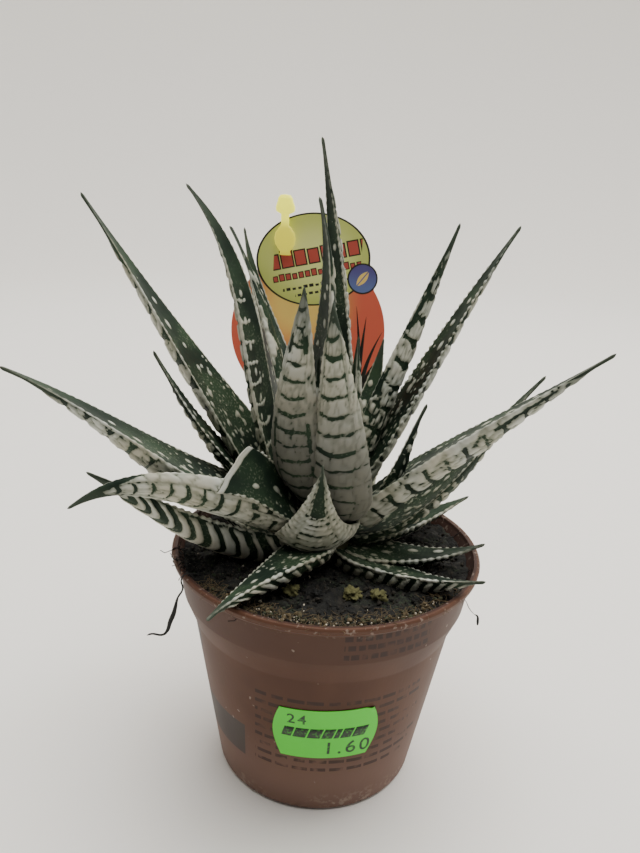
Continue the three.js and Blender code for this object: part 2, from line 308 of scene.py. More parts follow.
def colorMix(share, first, second):
    node = share.tree.nodes.new("ShaderNodeMix")
    node.data_type = "RGBA"
    for index, item in ((0, share), (6, first), (7, second)):
        feed(node.inputs[index], item)
    return Wire(node.outputs[2])


# Lays colours over a first one, each by its own share.
def layered(color, *coats):
    for share, coat in coats:
        color = colorMix(share, color, coat)
    return color


def bumpOf(height, strength, distance):
    node = height.tree.nodes.new("ShaderNodeBump")
    node.inputs["Strength"].default_value = strength
    node.inputs["Distance"].default_value = distance
    feed(node.inputs["Height"], height)
    return Wire(node.outputs[0])


def dress(shader, color, roughness, relief=None, strength=0.0, distance=0.0):
    feed(shader.inputs["Base Color"], color)
    feed(shader.inputs["Roughness"], roughness)
    if relief:
        feed(shader.inputs["Normal"], bumpOf(relief, strength, distance))


# Gives a surface light of its own: painted light, on parts that are no lamps.
def paintedGlow(shader, color, strength):
    feed(shader.inputs["Emission Color"], color)
    shader.inputs["Emission Strength"].default_value = strength


def rgb(red, green, blue):  # a colour as seen on screen, 0 to 255, made linear
    shares = [part / 255 for part in (red, green, blue)]
    return (*(((share + 0.055) / 1.055) ** 2.4 if share > 0.04 else share / 12.92 for share in shares), 1)


print("camera and light")
cameraRig = {
    "stand": (0, -177.1, 156),
    "turn": -1.09,  # degrees about Z, then down, then round the line of sight
    "down": 19.02,
    "roll": -3.21,
    "sensor": 36,
    "lens": 42.19,
}


def makeCamera(rig):
    turn, down, roll = (math.radians(rig[key]) for key in ("turn", "down", "roll"))
    sight = Vector((math.sin(turn) * math.cos(down), math.cos(turn) * math.cos(down), -math.sin(down)))
    level = Vector((math.cos(turn), -math.sin(turn), 0))
    below = sight.cross(level)
    right = level * math.cos(roll) + below * math.sin(roll)
    low = below * math.cos(roll) - level * math.sin(roll)
    camera = linked("camera", bpy.data.cameras.new("camera"))
    camera.data.sensor_fit = "HORIZONTAL"
    camera.data.sensor_width = rig["sensor"]
    camera.data.lens = rig["lens"]
    camera.data.clip_start = 0.01
    place = Matrix((right, -low, -sight)).transposed().to_4x4()
    place.translation = Vector(rig["stand"]) * mm
    camera.matrix_world = place
    bpy.context.scene.camera = camera


makeCamera(cameraRig)

studio = {
    "sky": rgb(238, 238, 240),
    "skyPower": 0.3,
    "floor": rgb(247, 244, 238),
    "front": rgb(54, 54, 53),  # the floor and wall behind the camera are greyer: painted shade, so that less light comes back onto the front of the pot
    "flat": 900,  # radius of the level floor, then the bend up to the wall
    "bend": 700,
    "wall": 1500,
    "bendSteps": 24,
    "sides": 96,
    "depth": 0.1,  # how far the floor lies under the pot
    "greyFrom": -230,  # where the floor turns grey, along Y, and where it is all grey
    "greyTo": -600,
    "aim": 70,  # height that the lamps point at
    "lamps": (  # place, size, power and colour
        ((150, 220, 1250), 1400, 34, rgb(255, 253, 249)),
        ((500, -600, 900), 1000, 0.8, rgb(248, 251, 255)),
    ),
}


# A round white dish: a level floor that bends up into a wall far from the pot, on every side.
def makeStudio(kit):
    world = bpy.data.worlds.new("studio")
    world.use_nodes = True
    world.node_tree.nodes["Background"].inputs["Color"].default_value = kit["sky"]
    world.node_tree.nodes["Background"].inputs["Strength"].default_value = kit["skyPower"]
    bpy.context.scene.world = world
    for index, (place, size, power, color) in enumerate(kit["lamps"]):
        lamp = linked(f"lamp{index}", bpy.data.lights.new(f"lamp{index}", "AREA"))
        lamp.data.size = size * mm
        lamp.data.energy = power
        lamp.data.color = color[:3]
        lamp.location = Vector(place) * mm
        aim = Vector((0, 0, kit["aim"])) * mm - lamp.location
        lamp.rotation_euler = aim.to_track_quat("-Z", "Y").to_euler()
    material, shader, where = newMaterial("paleFloor")
    # The floor and wall turn grey behind the camera: painted shade.
    ahead = ramp(partsOf(where)[1] / mm, kit["greyFrom"], kit["greyTo"])
    dress(shader, colorMix(ahead, kit["floor"], kit["front"]), 0.9)
    profile = [(kit["flat"], 0)]
    for step in range(1, kit["bendSteps"] + 1):
        angle = math.pi / 2 * step / kit["bendSteps"]
        profile.append((kit["flat"] + kit["bend"] * math.sin(angle), kit["bend"] * (1 - math.cos(angle))))
    profile.append((kit["flat"] + kit["bend"], kit["wall"]))
    sides, depth = kit["sides"], kit["depth"]
    points = [(0, 0, -depth)]
    for radius, height in profile:
        points += circle(radius, height - depth, sides)
    faces = [(0, 1 + step, 1 + (step + 1) % sides) for step in range(sides)]
    for ring in range(len(profile) - 1):
        for step in range(sides):
            here = 1 + ring * sides + step
            after = 1 + ring * sides + (step + 1) % sides
            faces.append((here, here + sides, after + sides, after))
    newPiece("floor", points, faces, material)


makeStudio(studio)

print("leaves")
leafBuild = {
    "spacing": 0.5,  # distance between rings along a leaf
    "around": 64,  # points round a ring
    "edge": 0.3,  # half thickness of the margin
    "tipHalf": 0.28,
    "bandHeight": 0.4,
    "dotHeight": 0.2,
    "tooth": 0.3,
    "clearance": 0.12,  # between neighbours where they press on each other
    "handle": 0.36,  # length of the two handles of the centreline, as a share of its chord
    "seedStep": 1.37,
    "cutterRings": 5,  # the cutters have a fifth of the rings
    "cutterAround": 20,
}

# One row a leaf: azimuth, root radius and height, reach, tip height, first and last rise angle,
# width, depth, look, then the rarer values: roll at the root and the tip, sideways sway of the tip,
# taper and slim (how full and how pinched the outline is) and whether the end is broken off.
leafRows = {
    "leaf_01": (20, 2, 82, 5, 118, 80, 88, 9, 4, "notched", {}),
    "leaf_02": (205, 2, 82, 5, 113, 78, 88, 9, 4, "notched", {}),
    "leaf_03": (60, 4, 80, 8.5, 163, 95, 112, 9, 3.5, "plain",
                {"sway": 13, "taper": 1.5, "roll": (10, -25)}),
    "leaf_04": (142, 4.5, 83, 1.7, 150, 75, 69, 12, 5, "streaked", {"roll": (-118, -112), "sway": 8}),
    "leaf_05": (230, 4.5, 79, 13, 131, 42, 88, 17.5, 4.5, "banded", {"taper": 1.4, "roll": (11, 15)}),
    "leaf_06": (284, 4, 76, 9, 128, 46, 106, 22, 6.5, "creamy",
                {"sway": -4, "taper": 1.05, "roll": (-42, -32)}),
    "leaf_07": (30, 4.5, 76, 31, 145, 74, 69, 13.5, 3.5, "flecked", {"roll": (-60, -73), "sway": -2}),
    "leaf_08": (125, 5, 77, 50, 139, 62, 68, 11, 4, "notched", {}),
    "leaf_09": (174, 6.5, 71, 37, 151, 57, 46, 15, 4, "barred", {"roll": (7, -38), "sway": 2.5}),
    "leaf_10": (141, 6, 75, 42.5, 140, 45, 47, 13, 5, "streaked", {"roll": (-110, -140), "sway": -3}),
    "leaf_11": (67, 5, 72, 32, 112, 48, 70, 13, 4, "notched", {}),
    "leaf_12": (22, 5, 77.5, 47, 145, 59, 55, 14, 4, "spotted", {"roll": (-7, -7)}),
    "leaf_13": (170, 7, 71.5, 64.5, 147.5, 50, 53, 20.5, 6, "notched", {"roll": (-12, 14), "sway": 2.5}),
    "leaf_14": (340, 5, 72, 23, 105, 35, 68, 9, 4, "mottled", {}),
    "leaf_15": (345, 6.5, 74.5, 62.5, 121, 47, 40, 15, 7.2, "blotched", {"roll": (2, -8), "sway": 2}),
    "leaf_16": (256, 7, 72, 20.5, 93, -12, 84, 30, 6.5, "shell",
                {"taper": 0.8, "slim": 1.3, "sway": 3.2, "roll": (18, 10)}),
    "leaf_17": (70, 6, 68, 60, 104, 22, 42, 14, 5, "blotched", {}),
    "leaf_18": (99, 6, 67, 64, 98, 18, 34, 14, 5, "notched", {}),
    "leaf_35": (92, 5, 72, 27, 114, 45, 72, 13, 4, "notched", {}),
    "leaf_19": (186, 6, 71, 44, 113, 32, 62, 13.5, 4, "mottled", {}),
    "leaf_20": (217, 6, 73, 28.5, 89.4, 30, 17, 12, 2.4, "spotted", {"broken": 1, "roll": (-30, -71)}),
    "leaf_21": (201, 7, 73.5, 75.5, 114, 17, 27, 20, 8, "lumpy", {"roll": (-8, 0), "sway": 3}),
    "leaf_22": (214, 7, 74, 65, 84.5, 10, -28, 16, 4.5, "pointed", {"roll": (42, 80), "sway": -3}),
    "leaf_23": (2, 6, 67, 51, 111, 14, 50, 14, 4.5, "mottled", {}),
    "leaf_24": (40, 6, 66, 60, 84, 12, 30, 14, 5, "blotched", {}),
    "leaf_25": (200, 6, 63, 59.5, 87.5, 2, 34, 17, 5, "crescent", {"roll": (42, 60)}),
    "leaf_26": (138, 6, 65, 60, 84, 5, 30, 14, 4.5, "squiggle", {}),
    "leaf_27": (20, 6, 65, 41, 72.5, 0, 22, 12, 4.5, "squiggle", {}),
    "leaf_28": (84, 6, 63.5, 56, 74, 0, 20, 13, 4, "squiggle", {}),
    "leaf_29": (350, 6, 64, 40.5, 69, -8, 30, 14, 4.5, "squiggle", {"roll": (4, -8)}),
    "leaf_30": (52, 6, 63, 44, 68, -3, 15, 12, 4, "squiggle", {}),
    "leaf_31": (325, 6, 63.5, 45, 69, -6, 24, 16, 6.5, "curled", {"roll": (-14, -20)}),
    "leaf_32": (252, 7, 66.5, 48.5, 65.5, 14, 3, 15, 5.5, "crescent", {"roll": (4, 40), "sway": -9.5}),
    "leaf_33": (160, 6, 63, 50, 70, 0, 10, 12, 4, "squiggle", {}),
    "leaf_34": (118, 6, 63, 30, 68, 2, 20, 11, 3.5, "squiggle", {}),
}

# How the white bands of the outer face and the dots of the inner face run. Pitch, Gap, Flare, Smile and Slit
# are millimetres; Span and Hem are shares from keel to margin, Dark Tip and Heart of the length.
# The last value of a look, its share of painted shade, darkens the whites towards the root.
usualLook = {
    "Pitch": 7.0, "Gap": 0.9, "Span": 0.9, "Flare": 0.9, "Smile": 1.4, "Slit": 0.0, "Streaks": 0.2,
    "Crease": 0.0, "Hem": 2.0, "Dark Tip": 0.18, "Heart": 0.0, "Dots": 1.0, "Bars": 0.0, "Beads": 0.4,
    "Painted Shade": 0.0,
}
# What each look changes in the usual one.
leafLooks = {
    "notched": {},
    "plain": {"Dots": 0.3, "Beads": 0.7},
    "spotted": {"Dark Tip": 0.12, "Beads": 1.3},
    "lumpy": {"Pitch": 5.8, "Gap": 0.5, "Smile": 1.2, "Dark Tip": 0.15, "Beads": 0.5},
    "streaked": {"Pitch": 6.2, "Gap": 0.7, "Span": 0.6, "Flare": 0.4, "Smile": 1.2, "Slit": 0.4,
                 "Streaks": 1.7, "Dark Tip": 0.1, "Dots": 0.7},
    "flecked": {"Pitch": 6.2, "Gap": 0.7, "Span": 0.75, "Flare": 0.5, "Smile": 1.2, "Slit": 0.4,
                "Streaks": 0.8, "Dark Tip": 0.12, "Dots": 0.8},
    "banded": {"Pitch": 3.9, "Gap": 0.5, "Span": 0.46, "Flare": 0.1, "Smile": 1.2, "Slit": 0.35,
               "Streaks": 0.15, "Crease": 0.6, "Dark Tip": 0.05, "Dots": 0.6, "Beads": 0.3, "Painted Shade": 0.95},
    "creamy": {"Pitch": 4.1, "Gap": 0.65, "Span": 0.5, "Flare": 0.05, "Streaks": 0.0, "Crease": 1.0,
               "Dark Tip": 0.12, "Dots": 0.6, "Beads": 0.3, "Painted Shade": 0.85},
    "blotched": {"Pitch": 5.6, "Gap": 0.8, "Span": 0.72, "Flare": 0.45, "Smile": 1.0, "Slit": 0.25,
                 "Streaks": 0.3, "Dark Tip": 0.12, "Beads": 0.6},
    "mottled": {"Pitch": 3.4, "Span": 0.92, "Flare": 0.6, "Smile": 1.2, "Slit": 0.3, "Streaks": 1.2,
                "Hem": 0.97, "Dark Tip": 0.25, "Beads": 1.0},
    "pointed": {"Pitch": 4.3, "Gap": 0.95, "Span": 0.42, "Flare": 0.1, "Smile": 2.6, "Streaks": 0.1,
                "Crease": 0.8, "Dark Tip": 0.24, "Dots": 0.5},
    "curled": {"Pitch": 3.1, "Gap": 1.0, "Span": 2.0, "Flare": 0.0, "Smile": 3.6, "Streaks": 0.0,
               "Hem": 0.92, "Dark Tip": 0.12, "Dots": 0.8, "Beads": 0.8},
    "crescent": {"Pitch": 4.2, "Gap": 1.9, "Span": 2.0, "Flare": 0.0, "Smile": 5.4, "Streaks": 0.0,
                 "Hem": 0.91, "Dark Tip": 0.16, "Dots": 0.9, "Beads": 1.0},
    "squiggle": {"Pitch": 3.0, "Gap": 2.1, "Span": 2.0, "Flare": 0.0, "Smile": 3.2, "Streaks": 0.0,
                 "Hem": 0.8, "Dark Tip": 0.2, "Dots": 0.8, "Beads": 1.0},
    "barred": {"Pitch": 5.4, "Gap": 1.0, "Span": 0.85, "Flare": 0.8, "Smile": 1.2, "Streaks": 0.7,
               "Dark Tip": 0.2, "Dots": 0.9, "Bars": 0.66, "Beads": 0.5},
    "shell": {"Pitch": 1.5, "Gap": 0.3, "Span": 0.42, "Flare": 0.0, "Smile": 1.2, "Streaks": 0.0,
              "Crease": 1.0, "Dark Tip": 0.04, "Heart": 0.46, "Dots": 0.5, "Beads": 0.2},
}

toothPitch = 1.9  # along the margin
ovalPitch = 6.8  # between the large ovals of the inner face
beadPitch = 1.7  # across the bars of the inner face
leafInputs = [(name, "Vector") for name in ("Root", "Near", "Far", "Tip", "Side")]
leafInputs += [(name, "Float") for name in (
    "Roll Root", "Roll Tip", "Length", "Width", "Depth", "Taper", "Slim", "Broken", *usualLook, "Seed")]
leafInputs += [("Rings", "Int"), ("Around", "Int"), ("Relief", "Float"), ("Grow", "Float")]
leafInputs += [("Material", "Material")]


# The centreline of a leaf and its own axes at a share t of the length.
def leafAxes(given, t):
    s = 1 - t

    def weigh(vector, weight):
        return vectors("SCALE", vector, weight)

    def total(*items):
        result = items[0]
        for item in items[1:]:
            result = vectors("ADD", result, item)
        return result

    handles = [given[name] for name in ("Root", "Near", "Far", "Tip")]
    shares = (s * s * s, s * s * t * 3, s * t * t * 3, t * t * t)
    place = total(*(weigh(handle, share) for handle, share in zip(handles, shares)))
    steps = [vectors("SUBTRACT", after, here) for here, after in zip(handles, handles[1:])]
    along = total(*(weigh(step, share) for step, share in zip(steps, (s * s, s * t * 2, t * t))))
    along = vectors("NORMALIZE", along)
    lean = vectors("DOT_PRODUCT", given["Side"], along, result="Value")
    across = vectors("NORMALIZE", vectors("SUBTRACT", given["Side"], weigh(along, lean)))
    up = vectors("CROSS_PRODUCT", along, across)
    roll = given["Roll Root"] + (given["Roll Tip"] - given["Roll Root"]) * t
    across = total(weigh(across, cosineOf(roll)), weigh(up, sineOf(roll)))
    face = vectors("CROSS_PRODUCT", along, across)
    return place, across, face


# White areas as a distance to their edge in millimetres, above zero inside the white.
def bandMark(given, t, x, around, half):
    pitch = given["Pitch"]
    wobble = noiseOf(pointOf(x * half, t * given["Length"], given["Seed"]), 0.35, 1.0) - 0.5
    phase = (t * given["Length"] - given["Smile"] * x * x + wobble * 1.4) / pitch + given["Seed"] * 0.37
    cell = floorOf(phase)
    toGap = absolute(phase - cell - 0.5) * pitch
    luck = randomOf(cell + given["Seed"] * 17)
    spanLuck = randomOf(cell + given["Seed"] * 31 + 0.5)
    side = absolute(around - 0.75) * 4  # 0 on the keel, 1 at the margin
    span = given["Span"] * (0.9 + 0.2 * spanLuck)
    flare = given["Flare"] * lesser(absolute(side - 0.5) / 0.38, 1.25) ** 2
    gapHalf = given["Gap"] * (0.3 + 0.4 * luck) + flare * (0.6 + 0.6 * luck)
    inGap = lesser(gapHalf - toGap, (span - side) * half)
    slitLuck = randomOf(cell + given["Seed"] * 43 + 0.25)
    inSlit = given["Slit"] * ramp(slitLuck, 0.45, 0.8, -0.6, 1.0) - absolute(side - span) * half
    s = 1 - t
    hasHeart = ramp(given["Heart"], 0.0, 0.05)  # the green middle that the tip of some leaves keeps
    heart = ramp(s, 0.0, given["Heart"] + 0.001, 0.5, 0.42, "LINEAR")
    heart = heart - ramp(s, given["Heart"] * 0.92, given["Heart"] + 0.02)
    inHeart = (heart - absolute(x)) * half * hasHeart - (1 - hasHeart)
    flow = pointOf(x * half * 0.95, t * given["Length"] * 0.2, given["Seed"] + 4)
    swirl = absolute(noiseOf(flow, 1.0, 1.0) - 0.5)
    where = ramp(noiseOf(flow, 0.35, 0.0), 0.38, 0.56) * given["Streaks"]
    inStreak = (where * 0.1 - 0.02 - swirl) * 3.3
    short = ramp(given["Hem"], 0.98, 0.85)  # how far the bands shrink to commas between keel and margin
    hem = given["Hem"] * (1 - short * 0.34 * slitLuck)
    nearKeel = (0.05 + 0.2 * spanLuck) * short - side - 1 + short
    inHem = greater(side - hem, nearKeel) * half + ramp(t, 0.42, 0.05) * short * 0.6
    white = 0 - greater(greater(greater(inGap, inSlit), greater(inHeart, inStreak)), inHem)
    rounded = 0 - inGap - inHem - rootOf(inGap * inGap + inHem * inHem) - 0.12
    white = white + (rounded - white) * short
    # Crease: a thin line across the whole width at each gap, a shallow groove that the material paints shade
    # into.
    white = lesser(white, toGap * 0.8 - 0.01 + wobble * 0.3 + (1 - given["Crease"]) * 1.5)
    tipSpan = ramp(s, given["Dark Tip"] * 0.3, given["Dark Tip"] * 1.5, -0.2, 1.3, "LINEAR")
    return lesser(white, (tipSpan - side) * half), phase, (side - hem - 0.04) * half


def dotMark(given, t, x, half, phase):
    along = t * given["Length"]
    side = absolute(x)
    toMargin = (1 - side) * half
    dash = cosineOf(along * (2 * math.pi / toothPitch) + given["Seed"])
    grain = noiseOf(pointOf(x * half, along, given["Seed"] + 9), 0.5, 2.0) - 0.5
    margin = 0.3 + (dash * 0.16 + grain * 0.7) * given["Beads"] + grain * 0.4
    margin = margin * ramp(1 - t, 0.0, 0.3, 0.3, 1.0) - toMargin

    def dots(acrossSize, alongSize, size, share, shift):
        where = pointOf(x * half / acrossSize, along / alongSize, given["Seed"] * 3 + shift)
        distance, color = cellsOf(where, 1.0, 0.75)
        luck = partsOf(color)
        radius = (luck[0] * 0.16 + 0.2) * ramp(luck[1], share, share + 0.05, 1.0, -1.0)
        return (radius - distance) * size

    row = along / ovalPitch + given["Seed"] * 0.61  # one large oval a step along the middle
    cell = floorOf(row)
    shift = randomOf(cell + given["Seed"] * 5.3)
    size = randomOf(cell * 1.7 + given["Seed"] * 2.9)
    ovalX = (x * half - (shift - 0.35) * half * 0.7) / (0.6 + 0.35 * size)
    ovalY = (row - cell - 0.5) * ovalPitch / (0.95 + 0.7 * size)
    oval = (1 - rootOf(ovalX * ovalX + ovalY * ovalY)) * 0.6
    oval = oval - ramp(t, 0.72, 0.86, 0.0, 2.0) - ramp(given["Dots"] * 1.1 - size, 0.0, 0.1, 1.0, 0.0)
    bigShare = ramp(t, 0.25, 0.6, 0.6, 0.02) * given["Dots"]
    smallShare = ramp(t, 0.3, 0.62, 0.95, -0.1) * given["Dots"]
    big = greater(dots(2.3, 3.2, 2.3, bigShare, 0.0), oval)
    small = dots(1.4, 1.8, 1.4, smallShare, 5.0)
    beads = cosineOf(x * half * (2 * math.pi / beadPitch)) * 0.16
    toBar = absolute(fraction(phase) - 0.5) * given["Pitch"]
    bars = lesser(0.5 + beads + grain * 0.3 - toBar, (x - 0.5 + given["Bars"]) * half)
    bars = lesser(bars, (given["Bars"] - 0.05) * 10)
    bars = lesser(bars, ramp(t, 0.6, 0.74, 1.0, -1.0))
    return greater(greater(margin, bars), greater(big, small))


def makeLeafTree(build):
    tree, given = newGeometryTree("leafBlade", leafInputs)
    spine = geometry(tree, "CurvePrimitiveLine")
    spine = geometry(tree, "ResampleCurve", Curve=spine, Count=given["Rings"])
    ring = geometry(tree, "CurvePrimitiveCircle", Resolution=given["Around"])
    share = geometry(tree, "SplineParameter")
    spine = storeValue(spine, "lengthwise", share)
    ring = storeValue(ring, "around", share)
    shape = geometry(tree, "CurveToMesh", Curve=spine, Profile_Curve=ring, Fill_Caps=True)

    t = namedValue(tree, "lengthwise")
    a = namedValue(tree, "around")
    s = 1 - t
    x = cosineOf(a * (2 * math.pi))
    outer = maths("GREATER_THAN", a, 0.4999)
    base = 0.62 + 0.38 * ramp(t, 0.0, 0.18, 0.0, 1.0, "LINEAR") ** 0.8
    taper = (1 - t ** given["Taper"]) ** given["Slim"]
    taper = taper + (1 - taper) * given["Broken"]
    tipRound = rootOf(ramp(s * given["Length"], 0.0, 0.9, 0.0, 1.0, "LINEAR"))
    tipRound = greater(tipRound, given["Broken"] * 0.7)
    half = greater(given["Width"] * 0.5 * base * taper, build["tipHalf"])
    slim = lesser(half / (given["Width"] * 0.5) * 1.7, 1.0)
    deep = greater(given["Depth"] * (0.35 + 0.65 * s ** 0.8) * slim, 2 * build["tipHalf"]) * tipRound
    half = half * greater(tipRound, given["Broken"])
    edge = lesser(deep * 0.5, build["edge"])
    square = x * x
    rounded = rootOf(greater(1 - square ** 4, 0.0))
    inside = edge * rounded - half * (0.1 - 0.06 * given["Broken"]) * (1 - square)
    belly = greater(1 - square, 0.0) ** 0.68 * 0.85 + (1 - absolute(x)) * 0.15
    outside = 0 - edge * rounded - (deep - edge) * belly
    v = inside + (outside - inside) * outer

    ragged = (noiseOf(pointOf(x * half * 0.3, 0.0, given["Seed"]), 1.0) - 0.5) * 0.05 + x * 0.12
    place, across, face = leafAxes(given, t + ragged * given["Broken"] * ramp(t, 0.4, 1.0))
    spot = vectors("ADD", place, vectors("SCALE", across, x * half))
    spot = vectors("ADD", spot, vectors("SCALE", face, v))
    shape = geometry(tree, "SetPosition", Geometry=shape, Position=vectors("SCALE", spot, mm))

    bands, phase, beyond = bandMark(given, t, x, a, half)
    dots = dotMark(given, t, x, half, phase)
    bands = greater(bands, lesser(dots, beyond))
    roughen = noiseOf(spot, 0.9, 2.0) * 0.5 - 0.25
    callus = given["Broken"] * 21.4 - 20 - s * given["Length"]  # the last 1.4 mm of a broken leaf
    mark = greater(dots + (bands - dots) * outer + roughen * (0.15 + outer * 0.6), callus)
    mark = lesser(greater(mark, -1.5), 1.5)
    shape = storeValue(shape, "mark", mark)
    shape = storeValue(shape, "outer", outer)
    # painted shade on the whites, strongest towards the root
    shape = storeValue(shape, "paintedShade", given["Painted Shade"] * ramp(t, 0.85, 0.3))
    height = build["dotHeight"] + (build["bandHeight"] - build["dotHeight"]) * outer
    atMargin = ramp(absolute(x), 0.9, 1.0) * ramp(s, 0.0, 0.2)
    teeth = cosineOf(t * given["Length"] * (2 * math.pi / toothPitch) + given["Seed"])
    lift = ramp(mark, -0.2, 0.5) * height * ramp(s, 0.02, 0.2)
    lift = lift + atMargin * teeth * given["Beads"] * build["tooth"] * 0.5
    lift = lift * given["Relief"] + given["Grow"]
    normal = geometry(tree, "InputNormal")
    shape = geometry(tree, "SetPosition", Geometry=shape, Offset=vectors("SCALE", normal, lift * mm))
    shape = storeValue(shape, "lengthwise", t * (1 - given["Broken"] * 0.4))
    shape = geometry(tree, "SetShadeSmooth", Geometry=shape)
    endTree(shape, given["Material"])
    return tree


leafPaint = {
    "dark": rgb(28, 41, 32),
    "fresh": rgb(48, 66, 47),
    "tip": rgb(62, 71, 60),
    "chalk": rgb(200, 203, 194),
    "cream": rgb(192, 188, 168),
    # grey-green of the freckles, and painted shade on the whites
    "shade": rgb(118, 124, 104),
    # grey for the painted shade that each look asks for
    "paintedShadeGrey": rgb(102, 102, 93),
}


def makeLeafMaterial(paint):
    material, shader, where = newMaterial("leafSkin")
    mark = valueOf(shader, "mark")
    t = valueOf(shader, "lengthwise")
    outer = valueOf(shader, "outer")
    paintedShade = valueOf(shader, "paintedShade")
    cloud = noiseOf(where, 90.0, 3.0)
    fine = noiseOf(where, 900.0, 3.0)
    speck = noiseOf(where, 1700.0, 1.0)
    freckle = ramp(speck, 0.56, 0.7) * ramp(cloud, 0.42, 0.58) * ramp(t, 0.85, 0.5) * 0.5
    green = layered(
        paint["dark"],
        (ramp(cloud, 0.35, 0.7), paint["fresh"]),
        (freckle, paint["shade"]),
        (ramp(t, 0.8, 1.0), paint["tip"]),
    )
    white = layered(
        paint["chalk"],
        (ramp(cloud, 0.3, 0.7), paint["cream"]),
        (ramp(t, 0.45, 0.0) * 0.4, paint["cream"]),
        # painted shade on the inner face towards the root, and at the edges of the whites and in the creases
        (ramp(t, 0.6, 0.15) * (1 - outer) * 0.55, paint["shade"]),
        (ramp(mark, 0.45, 0.0) * 0.7, paint["shade"]),
        # painted shade that each look asks for, towards the root
        (paintedShade, paint["paintedShadeGrey"]),
        (ramp(t, 0.72, 0.97) * 0.75, paint["tip"]),
    )
    edge = ramp(mark + (fine - 0.5) * 0.3, -0.05, 0.09)
    relief = ramp(mark, -0.1, 0.35) + fine * 0.25
    roughness = 0.56 + edge * 0.12 + (fine - 0.5) * 0.12
    dress(shader, colorMix(edge, green, white), roughness, relief, 0.5, 0.0002)
    shader.inputs["Specular IOR Level"].default_value = 0.14
    return material


def leafSettings(row, seed, material, build):
    azimuth, rootRadius, rootHeight, reach, rise, firstSlope, lastSlope, width, depth, look, more = row
    turn = math.radians(azimuth)
    out = Vector((math.cos(turn), math.sin(turn), 0))
    side = Vector((-math.sin(turn), math.cos(turn), 0))
    root = out * rootRadius + Vector((0, 0, rootHeight))
    tip = out * reach + Vector((0, 0, rise)) + side * more.get("sway", 0)
    chord = (tip - root).length

    def aim(slope):
        return out * math.cos(math.radians(slope)) + Vector((0, 0, math.sin(math.radians(slope))))

    near = root + aim(firstSlope) * build["handle"] * chord
    far = tip - aim(lastSlope) * build["handle"] * chord
    length = (chord + (near - root).length + (far - near).length + (tip - far).length) / 2
    rollRoot, rollTip = more.get("roll", (0, 0))
    return {
        "Root": root, "Near": near, "Far": far, "Tip": tip, "Side": side,
        "Roll Root": math.radians(rollRoot), "Roll Tip": math.radians(rollTip),
        "Length": float(length), "Width": float(width), "Depth": float(depth),
        "Taper": more.get("taper", 1.25), "Slim": more.get("slim", 0.92),
        "Broken": float(more.get("broken", 0)), "Seed": seed * build["seedStep"],
        "Rings": int(length / build["spacing"]), "Around": build["around"],
        "Relief": 1.0, "Grow": 0.0, "Material": material, **usualLook, **leafLooks[look],
    }


# Takes another mesh away from a piece.
def cutAway(piece, cutter):
    modifier = piece.modifiers.new("cut", "BOOLEAN")
    modifier.operation = "DIFFERENCE"
    modifier.solver = "MANIFOLD"
    modifier.object = cutter
    made = finishedMesh(piece)
    piece.modifiers.clear()
    if made.polygons:
        piece.data = made


# Drops every body of a mesh but the one with the most points.
def keepLargest(piece):
    work = bmesh.new()
    work.from_mesh(piece.data)
    work.verts.ensure_lookup_table()
    unseen = set(work.verts)
    bodies = []
    while unseen:
        body = []
        stack = [unseen.pop()]
        while stack:
            vertex = stack.pop()
            body.append(vertex)
            for edge in vertex.link_edges:
                other = edge.other_vert(vertex)
                if other in unseen:
                    unseen.remove(other)
                    stack.append(other)
        bodies.append(body)
    bodies.sort(key=len)
    for body in bodies[:-1]:
        bmesh.ops.delete(work, geom=body, context="VERTS")
    work.to_mesh(piece.data)
    work.free()


def boxesMeet(first, second):
    lowA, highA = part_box(first)
    lowB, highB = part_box(second)
    return all(lowA[k] < highB[k] and lowB[k] < highA[k] for k in range(3))


# Outer leaves give way to the leaves further in, as they do where they press on each other.
def makeLeaves(build):
    tree = makeLeafTree(build)
    material = makeLeafMaterial(leafPaint)
    cutters = {}
    for seed, (name, row) in enumerate(leafRows.items()):
        settings = leafSettings(row, seed + 1, material, build)
        piece = runTree(name.replace("leaf_", "bandedLeaf"), tree, settings)
        for inner, cutter in cutters.items():
            if boxesMeet(name, inner):
                cutAway(piece, cutter)
        keepLargest(piece)
        finishPiece(piece, "leaf", name)
        settings["Rings"] //= build["cutterRings"]
        settings.update({"Around": build["cutterAround"], "Relief": 0.0, "Grow": build["clearance"]})
        cutters[name] = runTree("cutter" + name, tree, settings)
    for cutter in cutters.values():
        bpy.data.objects.remove(cutter)


makeLeaves(leafBuild)

print("pot")
# Radius and height where the outer wall bends.
potBends = {"foot": (27, 0.8), "body": (34.3, 45), "collar": (37, 51.8), "lip": (38.3, 60.2)}
potShape = {
    "sides": 160,
    "top": 63,
    "floor": 1.8,
    # radius, height and the radius of the rounded corner there
    "outer": ((26.2, 0, 0.3), (*potBends["foot"], 0.6), (*potBends["body"], 4), (*potBends["collar"], 2.5),
              (*potBends["lip"], 0.8), (39.8, 61.4, 0.5), (40, 62.5, 0.4), (39.65, 63, 0.3)),
    "inner": ((38.4, 63, 0.3), (38.2, 62.2, 0.5), (36.9, 60, 0.8), (35.5, 51.4, 2.5), (32.8, 44.6, 4),
              (25.2, 2.6, 0.8), (24.4, 1.8, 0.3)),
    "drains": 6,  # holes in the floor, on a ring of this radius
    "drainRing": 17,
    "drainRadius": 3.2,
    "drainDepth": 4,
    "drainTurn": 0.3,
}
potPaint = {
    "clay": rgb(91, 61, 46),
    "deep": rgb(79, 52, 40),
    # lighter colour towards the foot: painted light bounced from the floor
    "paintedFloorLight": rgb(122, 95, 84),
    # darker colour for painted shade inside the wall and on the collar
    "inside": rgb(66, 46, 40),
    "print": rgb(46, 35, 32),
    "patch": rgb(66, 62, 60),
    "dust": rgb(186, 170, 156),
}
